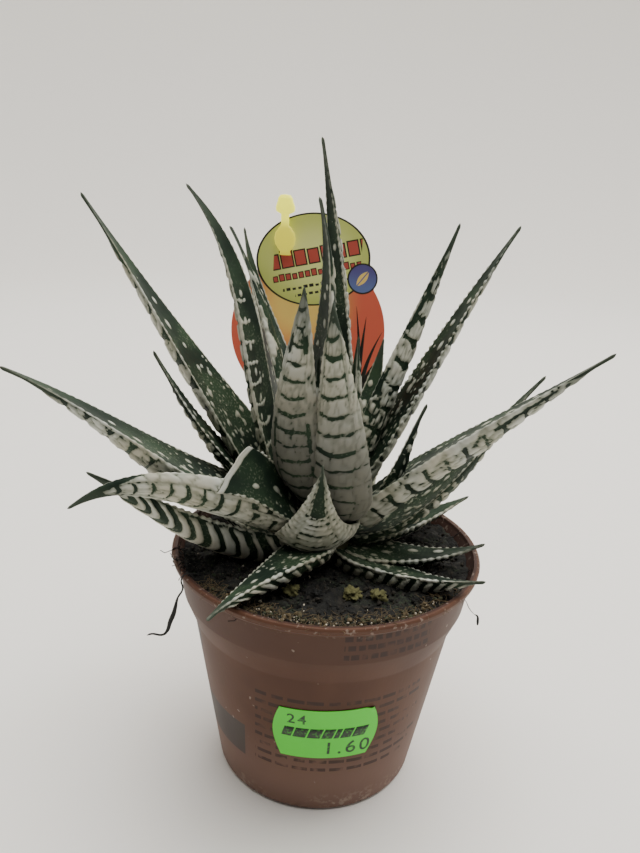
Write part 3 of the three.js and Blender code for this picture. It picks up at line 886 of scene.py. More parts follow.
# Where the print stands: left and right round the wall from the front, foot and top.
potPrint = {
    "lineHeight": 2.85,
    "body": (-15.3, 20, 14, 39.6),
    "ragged": 12,  # how much further the longest line runs
    "rowHeight": 2.7,
    "collar": (5.4, 27.4, 52.6, 60.6),
    "patch": (-42.1, -18.6, 13, 24),
    "spot": (-46.2, -37.7, 37, 44),
}


# Radius of the outer wall at a height, on the line between two of its bends.
def wallRadius(z, low, high):
    (lowRadius, lowHeight), (highRadius, highHeight) = potBends[low], potBends[high]
    return (z - lowHeight) * ((highRadius - lowRadius) / (highHeight - lowHeight)) + lowRadius


# Rounds each corner of a profile by its own radius.
def roundCorners(corners, steps=6):
    result = [corners[0][:2]]
    for before, corner, after in zip(corners, corners[1:], corners[2:]):
        here = Vector(corner[:2])
        back = Vector(before[:2]) - here
        ahead = Vector(after[:2]) - here
        turn = math.pi - back.angle(ahead)
        reach = min(corner[2] * math.tan(turn / 2), 0.45 * back.length, 0.45 * ahead.length)
        start = here + back.normalized() * reach
        end = here + ahead.normalized() * reach
        for step in range(steps + 1):
            share = step / steps
            result.append(tuple(start * (1 - share) ** 2 + here * 2 * share * (1 - share) + end * share ** 2))
    result.append(corners[-1][:2])
    return result


# Faces of a closed body: a first point, rings of points one after another, and a last point.
def ringFaces(rings, sides):
    last = rings * sides + 1
    faces = []
    for step in range(sides):
        after = (step + 1) % sides
        faces.append((0, 1 + after, 1 + step))
        faces.append((last, last - sides + step, last - sides + after))
        for ring in range(rings - 1):
            low = 1 + ring * sides
            faces.append((low + step, low + after, low + sides + after, low + sides + step))
    return faces


# A solid of revolution about Z, from the middle of its underside round to the middle of its top or floor.
def turnProfile(name, profile, sides, material):
    points = [(0, 0, profile[0][1])]
    for radius, height in profile:
        points += circle(radius, height, sides)
    points.append((0, 0, profile[-1][1]))
    return newPiece(name, points, ringFaces(len(profile), sides), material)


def makePotMaterial(paint, printed):
    material, shader, where = newMaterial("potPlastic")
    x, y, z = (wire / mm for wire in partsOf(where))
    radius = rootOf(x * x + y * y)
    lipRadius, lipHeight = potBends["lip"]
    lip = lesser((z - lipHeight) * 1.3 + lipRadius, 39.9)
    collarWall = lesser(wallRadius(z, "collar", "lip"), wallRadius(z, "body", "collar"))
    collarWall = greater(collarWall, lesser(lip, (z - lipHeight + 0.2) * 50))
    wall = greater(wallRadius(z, "foot", "body"), collarWall)
    outside = ramp(radius - wall, -0.9, -0.6)
    u = (maths("ARCTAN2", y, x) + math.pi / 2) * radius

    def field(name, soft=0.1, ragged=0.0):  # one inside a printed area
        left, right, foot, top = printed[name]
        return band(u, left, ragged + right, soft) * band(z, foot, top, soft)

    def dashes(along, height, share, spread, seed):  # distance inside plain dashes of uneven length
        number = floorOf(height)
        luck = randomOf(floorOf(along) + number * seed)
        return share + luck * spread - absolute(fraction(along) - 0.5), absolute(fraction(height) - 0.5)

    lineHeight, rowHeight = printed["lineHeight"], printed["rowHeight"]
    line = (printed["body"][3] - z) / lineHeight
    lineLuck = randomOf(floorOf(line) + 3.1)
    dash, fromLine = dashes(u / 4.6 + lineLuck * 5, line, 0.3, 0.18, 13.7)
    body = ramp(dash * 4.6, 0.0, 0.12) * ramp(0.62 - fromLine * lineHeight, 0.0, 0.12)
    body = body * field("body", 0.1, lineLuck * printed["ragged"])
    row = (z - printed["collar"][2]) / rowHeight
    dash, fromRow = dashes(u / 2.3 + floorOf(row) * 0.37, row, 0.3, 0.16, 9.1)
    collar = ramp(0.8 - fromRow * rowHeight, 0.0, 0.1) * ramp(dash, 0.0, 0.04) * field("collar")
    worn = noiseOf(where, 260.0, 3.0)
    ink = greater(body, collar) * outside * ramp(worn, 0.3, 0.5) * 0.75
    patches = greater(field("patch", 0.2), field("spot", 0.2))
    cloud = noiseOf(where, 45.0, 3.0)
    speck = noiseOf(where, 750.0, 2.0)
    nearFoot = ramp(z, 7.0, 1.0) * ramp(cloud, 0.42, 0.62) * ramp(speck, 0.5, 0.66) * 0.7
    nearRim = ramp(z, 58.0, 63.0) * ramp(speck, 0.6, 0.7) * 0.35
    flecks = ramp(noiseOf(where, 420.0, 1.0), 0.76, 0.79) * 0.4
    dust = greater(greater(nearFoot, nearRim), flecks)
    color = layered(
        paint["clay"],
        (ramp(cloud, 0.3, 0.7), paint["deep"]),
        # lighter towards the foot: painted light bounced from the floor
        (ramp(z, 32.0, 6.0) * 0.8, paint["paintedFloorLight"]),
        # a darker band over the collar: painted shade
        (ramp(z, 46.0, 54.0) * ramp(z, 62.0, 60.5) * 0.4, paint["inside"]),
        # the inside of the wall darker: painted shade
        (1 - outside, paint["inside"]),
        (ink, paint["print"]),
        (patches * outside * 0.85, paint["patch"]),
        (dust, paint["dust"]),
    )
    stretched = vectors("MULTIPLY", where, (1.0, 1.0, 0.25))
    grain = noiseOf(stretched, 1400.0, 2.0) + cloud * 1.5
    dress(shader, color, 0.46 + cloud * 0.12 + dust * 0.3, grain, 0.12, 0.0002)
    shader.inputs["Specular IOR Level"].default_value = 0.2
    return material


def makePot(shape, material):
    outer = [(0, 0, 0), *shape["outer"], (shape["inner"][0][0], shape["top"], 0)]
    inner = [(shape["outer"][-1][0], shape["top"], 0), *shape["inner"], (0, shape["floor"], 0)]
    profile = roundCorners(outer)[1:-1] + roundCorners(inner)[1:-1]
    piece = turnProfile("pottedShell", profile, shape["sides"], material)
    reach, depth = shape["drainRadius"], shape["drainDepth"]
    for number in range(shape["drains"]):
        angle = 2 * math.pi * number / shape["drains"] + shape["drainTurn"]
        centre = Vector((math.cos(angle), math.sin(angle), 0)) * shape["drainRing"]
        hole = turnProfile("drain", ((reach, -depth), (reach, depth)), 40, material)
        hole.data.transform(Matrix.Translation(centre * mm))
        cutAway(piece, hole)
        bpy.data.objects.remove(hole)
    piece.data.set_sharp_from_angle(angle=math.radians(32))
    finishPiece(piece, "pot", "pot")


makePot(potShape, makePotMaterial(potPaint, potPrint))

print("soil and stem")
soilShape = {
    "height": 60.4,
    "rise": 1.2,  # of the soil towards the front of the rim
    "rimRadius": 40,
    "wall": ((24.1, 2.1), (24.9, 2.9), (32.5, 44.6), (35.2, 51.4), (36.5, 59.4)),  # radius and height
    "edgeRadius": 37.2,
    "rings": 84,
    "sides": 210,
    "clod": 0.9,  # height of the lumps in its surface
}
# The peat, dry and black tones are darkened past the soil's own colour: painted shade from the leaves over
# it.
soilPaint = {
    "peat": rgb(27, 26, 21),
    "dry": rgb(43, 38, 30),
    "moss": rgb(42, 52, 33),
    "black": rgb(11, 12, 10),
    "grit": rgb(206, 196, 176),
    "lime": rgb(178, 172, 112),
    "crust": rgb(92, 90, 54),
    "fibre": rgb(92, 78, 54),
    "straw": rgb(146, 128, 94),
    "rootlet": rgb(58, 46, 40),
}


def soilHeight(x, y):
    shape = soilShape
    lift = shape["rise"] * max(0, -y / shape["rimRadius"]) * math.hypot(x, y) / shape["rimRadius"]
    bumps = 0.45 * math.sin(0.31 * x + 1.1) * math.cos(0.27 * y - 0.4) + 0.3 * math.sin(0.74 * x - 0.53 * y)
    return shape["height"] + lift + bumps


def makeSoilMaterial(paint):
    material, shader, where = newMaterial("peat")
    cloud = noiseOf(where, 110.0, 4.0)
    fine = noiseOf(where, 1100.0, 4.0, 0.65)
    distance, tint = cellsOf(where, 620.0)
    luck = partsOf(tint)
    mossy = ramp(cloud, 0.52, 0.64) * ramp(fine, 0.4, 0.6)
    color = layered(
        paint["black"],
        (ramp(fine, 0.35, 0.7), paint["peat"]),
        (ramp(luck[0], 0.72, 0.95) * 0.6, paint["dry"]),
        (mossy * 0.7, paint["moss"]),
    )
    dress(shader, color, 0.92, fine + distance * 0.6, 0.9, 0.0006)
    return material


def makeSoil(shape, material):
    tops = [shape["edgeRadius"] * (1 - (step / shape["rings"]) ** 1.05) for step in range(shape["rings"])]
    profile = [*shape["wall"], *((radius, shape["height"]) for radius in tops)]
    piece = turnProfile("peatFill", profile, shape["sides"], material)
    first = 1 + len(shape["wall"]) * shape["sides"]
    for vertex in piece.data.vertices[first:]:
        x, y = vertex.co.x / mm, vertex.co.y / mm
        clods = noise.fractal(Vector((x, y, 3)) * 0.42, 0.9, 2.0, 4) * shape["clod"]
        vertex.co.z = (soilHeight(x, y) + clods) * mm
    finishPiece(piece, "soil", "soil")


# The inputs of the two trees that strew bits, in the order of the values below.
lumpInputs = [("Density", "Float"), ("Seed", "Int"), ("Smallest", "Float"), ("Largest", "Float"),
              ("Flat", "Float"), ("Rough", "Float"), ("Material", "Material")]
fibreInputs = [("Density", "Float"), ("Seed", "Int"), ("Length", "Float"), ("Thick", "Float"),
               ("Curl", "Float"), ("Rise", "Float"), ("Material", "Material")]
# Each kind of bit: its finish, its patch (two radii, two azimuths and a lift), then the tree's values.
strewnLumps = {
    "peatCrumbs": ("crumb", (5, 36.6, 0, 360), (5.2e5, 3, 0.15, 0.75, 0.6, 0.5)),
    "mossTufts": ("moss", (12, 36.4, 150, 262), (3.4e5, 8, 0.12, 0.5, 0.9, 0.9)),
    "rimGrit": ("grit", (35.8, 38.6, 232, 318, 1.2), (9.0e5, 5, 0.06, 0.3, 0.7, 0.3)),
    "paleGrit": ("grit", (14, 37, 180, 380), (3.0e4, 6, 0.12, 0.4, 0.8, 0.4)),
    "rimMoss": ("rimMoss", (34.8, 38.5, 224, 322, 1.2), (4.5e5, 12, 0.15, 0.7, 0.8, 0.9)),
}
strewnFibres = {
    "rimFibres": ("dryFibre", (33.5, 39.3, 215, 330, 1.3), (8.0e5, 4, 4.2, 0.05, 3.0, 2.0)),
    "soilFibres": ("darkFibre", (12, 36.5, 0, 360), (6.0e4, 9, 9.0, 0.11, 6.0, 3.4)),
    "rootTuft": ("darkFibre", (34.5, 39.6, 194, 214, 2.2), (6.5e5, 2, 6.5, 0.1, 5.0, 3.6)),
}
# Lumps of lime crust: azimuth, radius, size and finish.
limeLumps = (
    (252, 23.8, 1.9, "lime"),
    (267, 23.5, 1.3, "crumb"),
    (286.5, 23.9, 2.1, "lime"),
    (300, 26, 1.9, "lime"),
)
bitFinishes = {  # darkest and palest colour of each finish
    "crumb": ("black", "dry"),
    "grit": ("dry", "grit"),
    "lime": ("crust", "lime"),
    "moss": ("black", "moss"),
    "rimMoss": ("moss", "fibre"),
    "dryFibre": ("fibre", "straw"),
    "darkFibre": ("black", "rootlet"),
}


# Copies of a thing on a surface, turned at random between two rotations.
def strewnOver(tree, given, thing, turnLow, turnHigh, scale):
    points = geometry(tree, "DistributePointsOnFaces", Mesh=given["Geometry"],
                      Density=given["Density"], Seed=given["Seed"])
    turn = randomBetween(tree, turnLow, turnHigh)
    return geometry(tree, "InstanceOnPoints", Points=points, Instance=thing, Rotation=turn, Scale=scale)


# Small rough lumps strewn over a surface, each with a tone of its own.
def makeLumpTree():
    tree, given = newGeometryTree("strewnLumps", lumpInputs, takesMesh=True)
    lump = geometry(tree, "MeshIcoSphere", Radius=mm, Subdivisions=2)
    size = randomBetween(tree, given["Smallest"], given["Largest"], 7)
    scale = pointOf(size, size * given["Flat"], size * 0.8)
    shape = strewnOver(tree, given, lump, (0, 0, 0), (6.28, 6.28, 6.28), scale)
    shape = storeValue(shape, "tone", randomBetween(tree, 0.0, 1.0, 11), "INSTANCE")
    shape = geometry(tree, "RealizeInstances", Geometry=shape)
    where = geometry(tree, "InputPosition")
    bump = noiseOf(where, 1500.0, 1.0) - 0.5
    push = vectors("SCALE", geometry(tree, "InputNormal"), bump * given["Rough"] * mm)
    shape = geometry(tree, "SetPosition", Geometry=shape, Offset=push)
    endTree(shape, given["Material"])
    return tree


# Thin curled rootlets: short lines strewn over a surface, bent by a noise and given a round section.
def makeFibreTree():
    tree, given = newGeometryTree("strewnFibres", fibreInputs, takesMesh=True)
    line = geometry(tree, "CurvePrimitiveLine", Start=(-0.5 * mm, 0, 0), End=(0.5 * mm, 0, 0))
    line = geometry(tree, "ResampleCurve", Curve=line, Count=9)
    size = randomBetween(tree, given["Length"] * 0.4, given["Length"], 5)
    shape = strewnOver(tree, given, line, (0, -0.5, 0), (0, 0.5, 6.28), size)
    shape = geometry(tree, "RealizeInstances", Geometry=shape)
    where = geometry(tree, "InputPosition")
    field = tree.nodes.new("ShaderNodeTexNoise")
    feed(field.inputs["Vector"], where)
    field.inputs["Scale"].default_value = 420.0
    field.inputs["Detail"].default_value = 1.0
    drift = vectors("SUBTRACT", Wire(field.outputs["Color"]), (0.5, 0.5, 0.44))
    curl = given["Curl"] * mm
    drift = vectors("MULTIPLY", drift, pointOf(curl, curl, given["Rise"] * mm))
    shape = geometry(tree, "SetPosition", Geometry=shape, Offset=drift)
    ring = geometry(tree, "CurvePrimitiveCircle", Resolution=5, Radius=given["Thick"] * mm)
    shape = geometry(tree, "CurveToMesh", Curve=shape, Profile_Curve=ring, Fill_Caps=True)
    shape = geometry(tree, "SetShadeSmooth", Geometry=shape)
    endTree(shape, given["Material"])
    return tree


def makeBitMaterial(name, first, second, roughness=0.9):
    material, shader, where = newMaterial(name)
    grain = noiseOf(where, 1900.0, 3.0)
    tone = valueOf(shader, "tone")
    color = colorMix(ramp(tone * 0.7 + grain * 0.5, 0.2, 0.9), first, second)
    dress(shader, color, roughness, grain, 0.6, 0.0003)
    return material


# A patch of the soil's own surface between two radii and two azimuths, for strewing bits on.
def soilPatch(inner, outer, fromDegrees, toDegrees, lift=0.0):
    rows, columns = 5, 24
    points = []
    for row in range(rows + 1):
        radius = inner + (outer - inner) * row / rows
        for column in range(columns + 1):
            angle = math.radians(fromDegrees + (toDegrees - fromDegrees) * column / columns)
            x, y = radius * math.cos(angle), radius * math.sin(angle)
            points.append(Vector((x, y, soilHeight(x, y) + lift)) * mm)
    width = columns + 1
    corners = [row * width + column for row in range(rows) for column in range(columns)]
    mesh = bpy.data.meshes.new("patch")
    mesh.from_pydata(points, [], [(c + 1, c + width + 1, c + width, c) for c in corners])
    return mesh


def makeBits(paint):
    finishes = {}
    for name, (dark, pale) in bitFinishes.items():
        finishes[name] = makeBitMaterial(name, paint[dark], paint[pale])
    kinds = ((strewnLumps, lumpInputs, makeLumpTree()), (strewnFibres, fibreInputs, makeFibreTree()))
    for table, inputs, tree in kinds:
        names = [name for name, kind in inputs]
        for name, (finish, patch, values) in table.items():
            settings = dict(zip(names, (*values, finishes[finish])))
            finishPiece(runTree(name, tree, settings, soilPatch(*patch)), "soil")
    for number, (azimuth, radius, size, finish) in enumerate(limeLumps):
        angle = math.radians(azimuth)
        x, y = radius * math.cos(angle), radius * math.sin(angle)
        work = bmesh.new()
        bmesh.ops.create_icosphere(work, subdivisions=4, radius=size)
        for vertex in work.verts:
            knob = noise.fractal(vertex.co * 0.9 + Vector((number * 7, 0, 0)), 0.8, 2.0, 4)
            vertex.co = vertex.co * (0.9 + 0.65 * knob)
            vertex.co.z *= 0.75
        bmesh.ops.translate(work, vec=(x, y, soilHeight(x, y) + size * 0.5), verts=work.verts)
        bmesh.ops.scale(work, vec=(mm, mm, mm), verts=work.verts)
        mesh = bpy.data.meshes.new("limeLump")
        work.to_mesh(mesh)
        work.free()
        mesh.shade_smooth()
        mesh.materials.append(finishes[finish])
        finishPiece(linked(f"limeLump{number}", mesh), "soil")


# The stem is hidden by the leaves, so its solid stays and only gets its bark.
def paintStem(paint):
    material, shader, where = newMaterial("stemBark")
    bark = colorMix(noiseOf(where, 400.0, 3.0), paint["dark"], paint["pale"])
    dress(shader, bark, 0.8)
    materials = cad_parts["stem"].data.materials
    materials.clear()
    materials.append(material)


makeSoil(soilShape, makeSoilMaterial(soilPaint))
makeBits(soilPaint)
paintStem({"dark": rgb(60, 66, 42), "pale": rgb(96, 92, 62)})

print("hanging root")
rootShape = {
    "path": ((-29.5, -20, 62.3), (-31.2, -21.4, 63.5), (-32.7, -22.5, 63.8), (-33.4, -23.6, 63),
             (-33, -24, 60.9), (-34.2, -24, 58.3), (-34.8, -24, 55.7), (-35.2, -24, 54), (-36.1, -24, 51.5),
             (-36.9, -24, 48.9), (-37.9, -24, 47.8), (-40.7, -24, 47.8), (-41.8, -24, 47.3)),
    "thread": ((34.4, -13.8, 57.6), (35.3, -14.6, 56.8), (36.2, -15, 55.2), (37.7, -15, 53.5),
               (38.5, -15, 53), (38.8, -15, 51.6), (38.9, -15, 50.4)),
    "thin": 0.24,  # radius, and what the swollen stretch adds
    "swell": 0.36,
    "flat": 0.62,  # thickness over width
}


# A line through the points with a flat round section that swells between two shares of its length.
def makeRoots(shape, paint):
    inputs = [(name, "Float") for name in ("Thin", "Swell", "From", "To", "Flat")]
    inputs.append(("Material", "Material"))
    tree, given = newGeometryTree("driedRoot", inputs, takesMesh=True)
    line = geometry(tree, "ResampleCurve", Curve=given["Geometry"], Count=120)
    share = geometry(tree, "SplineParameter")
    swell = sineOf(ramp(share, given["From"], given["To"], 0.0, math.pi, "LINEAR"))
    ripple = noiseOf(geometry(tree, "InputPosition"), 500.0, 2.0) - 0.5
    size = (given["Thin"] + swell * given["Swell"] + ripple * 0.16) * ramp(share, 1.0, 0.97, 0.35, 1.0)
    ring = geometry(tree, "CurvePrimitiveCircle", Resolution=14, Radius=mm)
    flat = geometry(tree, "Transform", Geometry=ring, Scale=pointOf(1.0, given["Flat"], 1.0))
    swept = geometry(tree, "CurveToMesh", Curve=line, Profile_Curve=flat, Scale=size, Fill_Caps=True)
    endTree(geometry(tree, "SetShadeSmooth", Geometry=swept), given["Material"])
    material = makeBitMaterial("driedRoot", paint["black"], paint["rootlet"], 0.75)
    for name, path, thin, swells, nodes in (
        ("driedRoot", shape["path"], shape["thin"], (0.42, 0.86), ["hanging_root"]),
        ("rootThread", shape["thread"], 0.1, (0.62, 1.1), []),
    ):
        curve = bpy.data.curves.new(name, "CURVE")
        curve.dimensions = "3D"
        spline = curve.splines.new("BEZIER")
        spline.bezier_points.add(len(path) - 1)
        for point, place in zip(spline.bezier_points, path):
            point.co = Vector(place) * mm
            point.handle_left_type = point.handle_right_type = "AUTO"
        settings = {"Thin": thin, "Swell": shape["swell"], "From": swells[0], "To": swells[1],
                    "Flat": shape["flat"], "Material": material}
        finishPiece(runTree(name, tree, settings, curve), "root", *nodes)


makeRoots(rootShape, soilPaint)

print("price label")
priceLabel = {
    "width": 26,
    "height": 16,
    "middle": 28,  # height of its middle, then its place round the pot in radians
    "turn": -1.487,
    "bulge": 1.9,  # of the side edges
    "lift": 0.12,
    "thick": 0.14,
    "paper": rgb(78, 206, 48),
    "dull": rgb(70, 180, 54),
    "ink": rgb(42, 56, 40),
    "paintedGlow": 0.12,
    "tilt": 0.6,  # rise from the left edge to the right one
    "numbers": (("24", 4.2, -9.4, 3.4), ("1.60", 5.8, -0.4, -6.5)),  # text, size, left edge, foot
    # left and right edge of each block
    "blocks": ((-10.8, -8.4), (-8, -4.9), (-4.5, -1.4), (-1, 1.6), (2, 3.2), (3.6, 6.1), (6.5, 9.7)),
    "blockFoot": -1.1,
    "blockHeight": 3.1,
    "slant": 0.3,  # shift to the right for each millimetre up
}


# Wraps a flat point of the label onto the pot.
def onPot(u, v, lift):
    middle = priceLabel["middle"]
    angle = priceLabel["turn"] + u / (wallRadius(middle, "foot", "body") + lift)
    radius = wallRadius(middle + v, "foot", "body") + lift
    return radius * math.cos(angle), radius * math.sin(angle), middle + v


# A thin closed sheet: place gives each of its points from two shares and a height over its back.
def flatSheet(name, columns, rows, place, thick, material):
    shares = [(c / columns, r / rows) for r in range(rows + 1) for c in range(columns + 1)]
    back = [place(across, rise, 0.0) for across, rise in shares]
    front = [place(across, rise, thick) for across, rise in shares]
    width = columns + 1
    total = len(back)
    faces = []
    for r in range(rows):
        for c in range(columns):
            a = r * width + c
            faces.append((a, a + width, a + width + 1, a + 1))
            faces.append((total + a, total + a + 1, total + a + width + 1, total + a + width))
    edge = list(range(columns))
    edge += [r * width + columns for r in range(rows)]
    edge += [rows * width + c for c in range(columns, 0, -1)]
    edge += [r * width for r in range(rows, 0, -1)]
    for here, after in zip(edge, edge[1:] + edge[:1]):
        faces.append((here, after, total + after, total + here))
    return newPiece(name, back + front, faces, material)


def makePriceLabel(label):
    material, shader, where = newMaterial("neonPaper")
    fibre = noiseOf(where, 1300.0, 3.0)
    dull = noiseOf(where, 120.0, 2.0)
    color = colorMix(ramp(dull, 0.35, 0.7) * 0.2, label["paper"], label["dull"])
    dress(shader, color, 0.5 + fibre * 0.15, fibre, 0.15, 0.0001)
    # the paper glows a little: painted light
    paintedGlow(shader, label["paper"], label["paintedGlow"])

    def place(share, rise, thick):
        v = (rise - 0.5) * label["height"]
        half = label["width"] / 2 - label["bulge"] * (1 - math.cos(math.pi * v / label["height"]))
        corner = math.exp(-((share - 0.97) / 0.04) ** 2 - ((rise - 0.97) / 0.06) ** 2)  # it curls up
        v += label["tilt"] * (share - 0.5) - 0.5 * corner
        return onPot((share - 0.5) * 2 * half, v, label["lift"] + thick + 0.25 * corner)

    sheet = flatSheet("priceSticker", 60, 30, place, label["thick"], material)
    sheet.data.set_sharp_from_angle(angle=math.radians(50))
    finishPiece(sheet, "price_label", "price_label")
    ink, shader, where = newMaterial("stampedInk")
    worn = ramp(noiseOf(where, 1500.0, 2.0), 0.5, 0.75)
    dress(shader, colorMix(worn * 0.5, label["ink"], label["paper"]), 0.6)
    over = label["lift"] + label["thick"]
    for number, (text, size, left, foot) in enumerate(label["numbers"]):
        curve = bpy.data.curves.new("digits", "FONT")
        curve.body = text
        curve.size = size
        curve.space_character = 1.25
        curve.offset = 0.035
        curve.extrude = 0.015
        writer = linked("digits", curve)
        mesh = finishedMesh(writer)
        bpy.data.objects.remove(writer)
        closeUp(mesh, 0.0001)
        for vertex in mesh.vertices:
            u, v = left + vertex.co.x, foot + vertex.co.y
            v += label["tilt"] * u / label["width"]
            vertex.co = Vector(onPot(u, v, over + 0.02 + vertex.co.z)) * mm
        mesh.materials.clear()
        mesh.materials.append(ink)
        finishPiece(linked(f"stampedNumber{number}", mesh), "price_label")
    for number, (left, right) in enumerate(label["blocks"]):
        def block(share, rise, thick):
            v = label["blockHeight"] * rise
            u = left + (right - left) * share + label["slant"] * v
            return onPot(u, label["blockFoot"] + v + label["tilt"] * u / label["width"], over + thick)
        finishPiece(flatSheet(f"stampedBlock{number}", 8, 2, block, 0.03, ink), "price_label")


makePriceLabel(priceLabel)

print("plant label")
plantLabel = {
    "place": (0, 36.5, 122),
    "lean": 6.8,  # degrees, away from the front
    "thick": 0.6,
    "oval": (-8.6, 9.5, 16.1, 12.8, 6),  # x, y, two radii, tilt
    "round": (-9.1, -10.6, 22, 22, 0),
    "disc": (5.6, 5, 4.3, 4.3, 0),
    "outline": 0.45,
    "sheet": 50,  # side of the square that the printed pattern is laid out on
    "middle": (-8.8, 0),
    "lime": rgb(234, 238, 150),
    "limeEdge": rgb(200, 208, 112),
    "ember": rgb(222, 104, 80),
    "amber": rgb(246, 210, 116),
    "violet": rgb(92, 84, 140),
    "sky": rgb(104, 120, 170),
    "red": rgb(190, 84, 72),
    "line": rgb(40, 42, 34),
    "dark": rgb(28, 30, 26),
    "blank": rgb(226, 222, 208),
    "paintedGlow": 0.09,  # painted light: a glow that stands in for the light coming through the card
    # foot x and y, height, lean, half width of each painted blade
    "blades": ((6.2, -27.5, 22, 1.2, 0.75), (5.2, -27, 18, -5.0, 0.7), (7.2, -26.6, 17, 5.0, 0.7),
               (4.4, -27, 12, -8.4, 0.6), (7.9, -25.8, 10.5, 5.6, 0.55), (6.6, -27.2, 24.5, -2.2, 0.6)),
}


def fromLabel(x, y, z):
    lean = math.radians(plantLabel["lean"])
    px, py, pz = plantLabel["place"]
    return px + x, py - z * math.cos(lean) + y * math.sin(lean), pz + y * math.cos(lean) + z * math.sin(lean)


# Distance from the middle of the card to the far edge of a tilted oval, at an angle.
def reachTo(field, middle, angle):
    x, y, a, b, tilt = field
    turn = math.radians(tilt)
    direction = Vector((math.cos(angle), math.sin(angle)))
    start = Vector(middle) - Vector((x, y))
    start.rotate(Matrix.Rotation(-turn, 2))
    direction.rotate(Matrix.Rotation(-turn, 2))
    p = (direction.x / a) ** 2 + (direction.y / b) ** 2
    q = start.x * direction.x / a ** 2 + start.y * direction.y / b ** 2
    r = (start.x / a) ** 2 + (start.y / b) ** 2 - 1
    inside = q * q - p * r
    return (-q + math.sqrt(inside)) / p if inside > 0 else 0


def makeCardMaterial(label):
    material, shader, where = newMaterial("printedCard")
    node = where.tree.nodes.new("ShaderNodeUVMap")
    node.uv_map = "UVMap"
    sheet = label["sheet"]
    x, y = (wire * sheet - sheet / 2 for wire in partsOf(Wire(node.outputs[0]))[:2])

    def depthIn(field):  # millimetres inside the edge of an oval
        cx, cy, a, b, tilt = field
        turn = math.radians(tilt)
        px = ((x - cx) * math.cos(turn) + (y - cy) * math.sin(turn)) / a
        py = ((y - cy) * math.cos(turn) - (x - cx) * math.sin(turn)) / b
        return (1 - rootOf(px * px + py * py)) * min(a, b)

    def block(line, pitch, thick, share):  # a row of uneven slanting blocks along a rising line
        along = (x + 30 + (y - line) * 0.25) / pitch
        luck = randomOf(floorOf(along) + line)
        middle = line + (x + 8.6) * 0.24 + (luck - 0.5) * thick * 0.4
        cell = absolute(fraction(along) - 0.5) * pitch
        tall = thick * (0.8 + luck * 0.35) - absolute(y - middle)
        return lesser(tall, (share + luck * 0.1 - 0.05) * pitch - cell)

    oval = depthIn(label["oval"])
    disc = depthIn(label["disc"])
    sunX, sunY = (x + 12) * 0.9, y + 3
    fromSun = ramp(rootOf(sunX * sunX + sunY * sunY), 4.0, 17.0)
    shade = noiseOf(where, 160.0, 2.0)
    fromMiddle = absolute(x + 7.4)
    within = ramp(fromMiddle, 12.4, 12.2)
    big = block(10.6, 3.9, 2.3, 0.45)
    small = block(5.9, 1.9, 1.0, 0.43)
    rows = greater(block(2.4, 1.7, 0.45, 0.36), block(0.3, 1.7, 0.42, 0.36) * ramp(absolute(x + 7), 6.2, 6.0))
    limeColor = layered(
        label["limeEdge"],
        (ramp(oval, 0.0, 9.0), label["lime"]),
        (ramp(greater(big, small), -0.02, 0.06) * within, label["line"]),
        (ramp(greater(big - 0.38, small - 0.28), -0.02, 0.06) * within, label["red"]),
        (ramp(rows - 0.02, -0.02, 0.06) * ramp(fromMiddle, 9.4, 9.2), label["line"]),
    )
    discColor = colorMix(ramp(y, 8.5, 1.5), label["violet"], label["sky"])
    cx, cy = label["disc"][:2]
    sprigX, sprigY = (x - cx) * 0.8 - (y - cy) * 0.6, (y - cy) * 0.8 + (x - cx) * 0.6
    sprig = 1.15 - sprigY * sprigY * 0.16 - absolute(sprigX)  # a plain leaf with a midrib
    sprig = lesser(sprig, absolute(sprigX) - 0.16)

    def over(inside):
        return ramp(inside, -0.04, 0.04)

    color = layered(
        label["amber"],
        (fromSun, label["ember"]),
        (over(oval), label["line"]),
        (over(oval - label["outline"]), limeColor),
        (over(disc), label["line"]),
        (over(disc - label["outline"]), discColor),
        (over(sprig), label["amber"]),
    )
    color = colorMix(valueOf(shader, "front"), label["blank"], color)
    dress(shader, color, 0.32 + shade * 0.12, shade, 0.05, 0.0003)
    # painted light, for the light that comes through the card
    paintedGlow(shader, color, label["paintedGlow"])
    return material


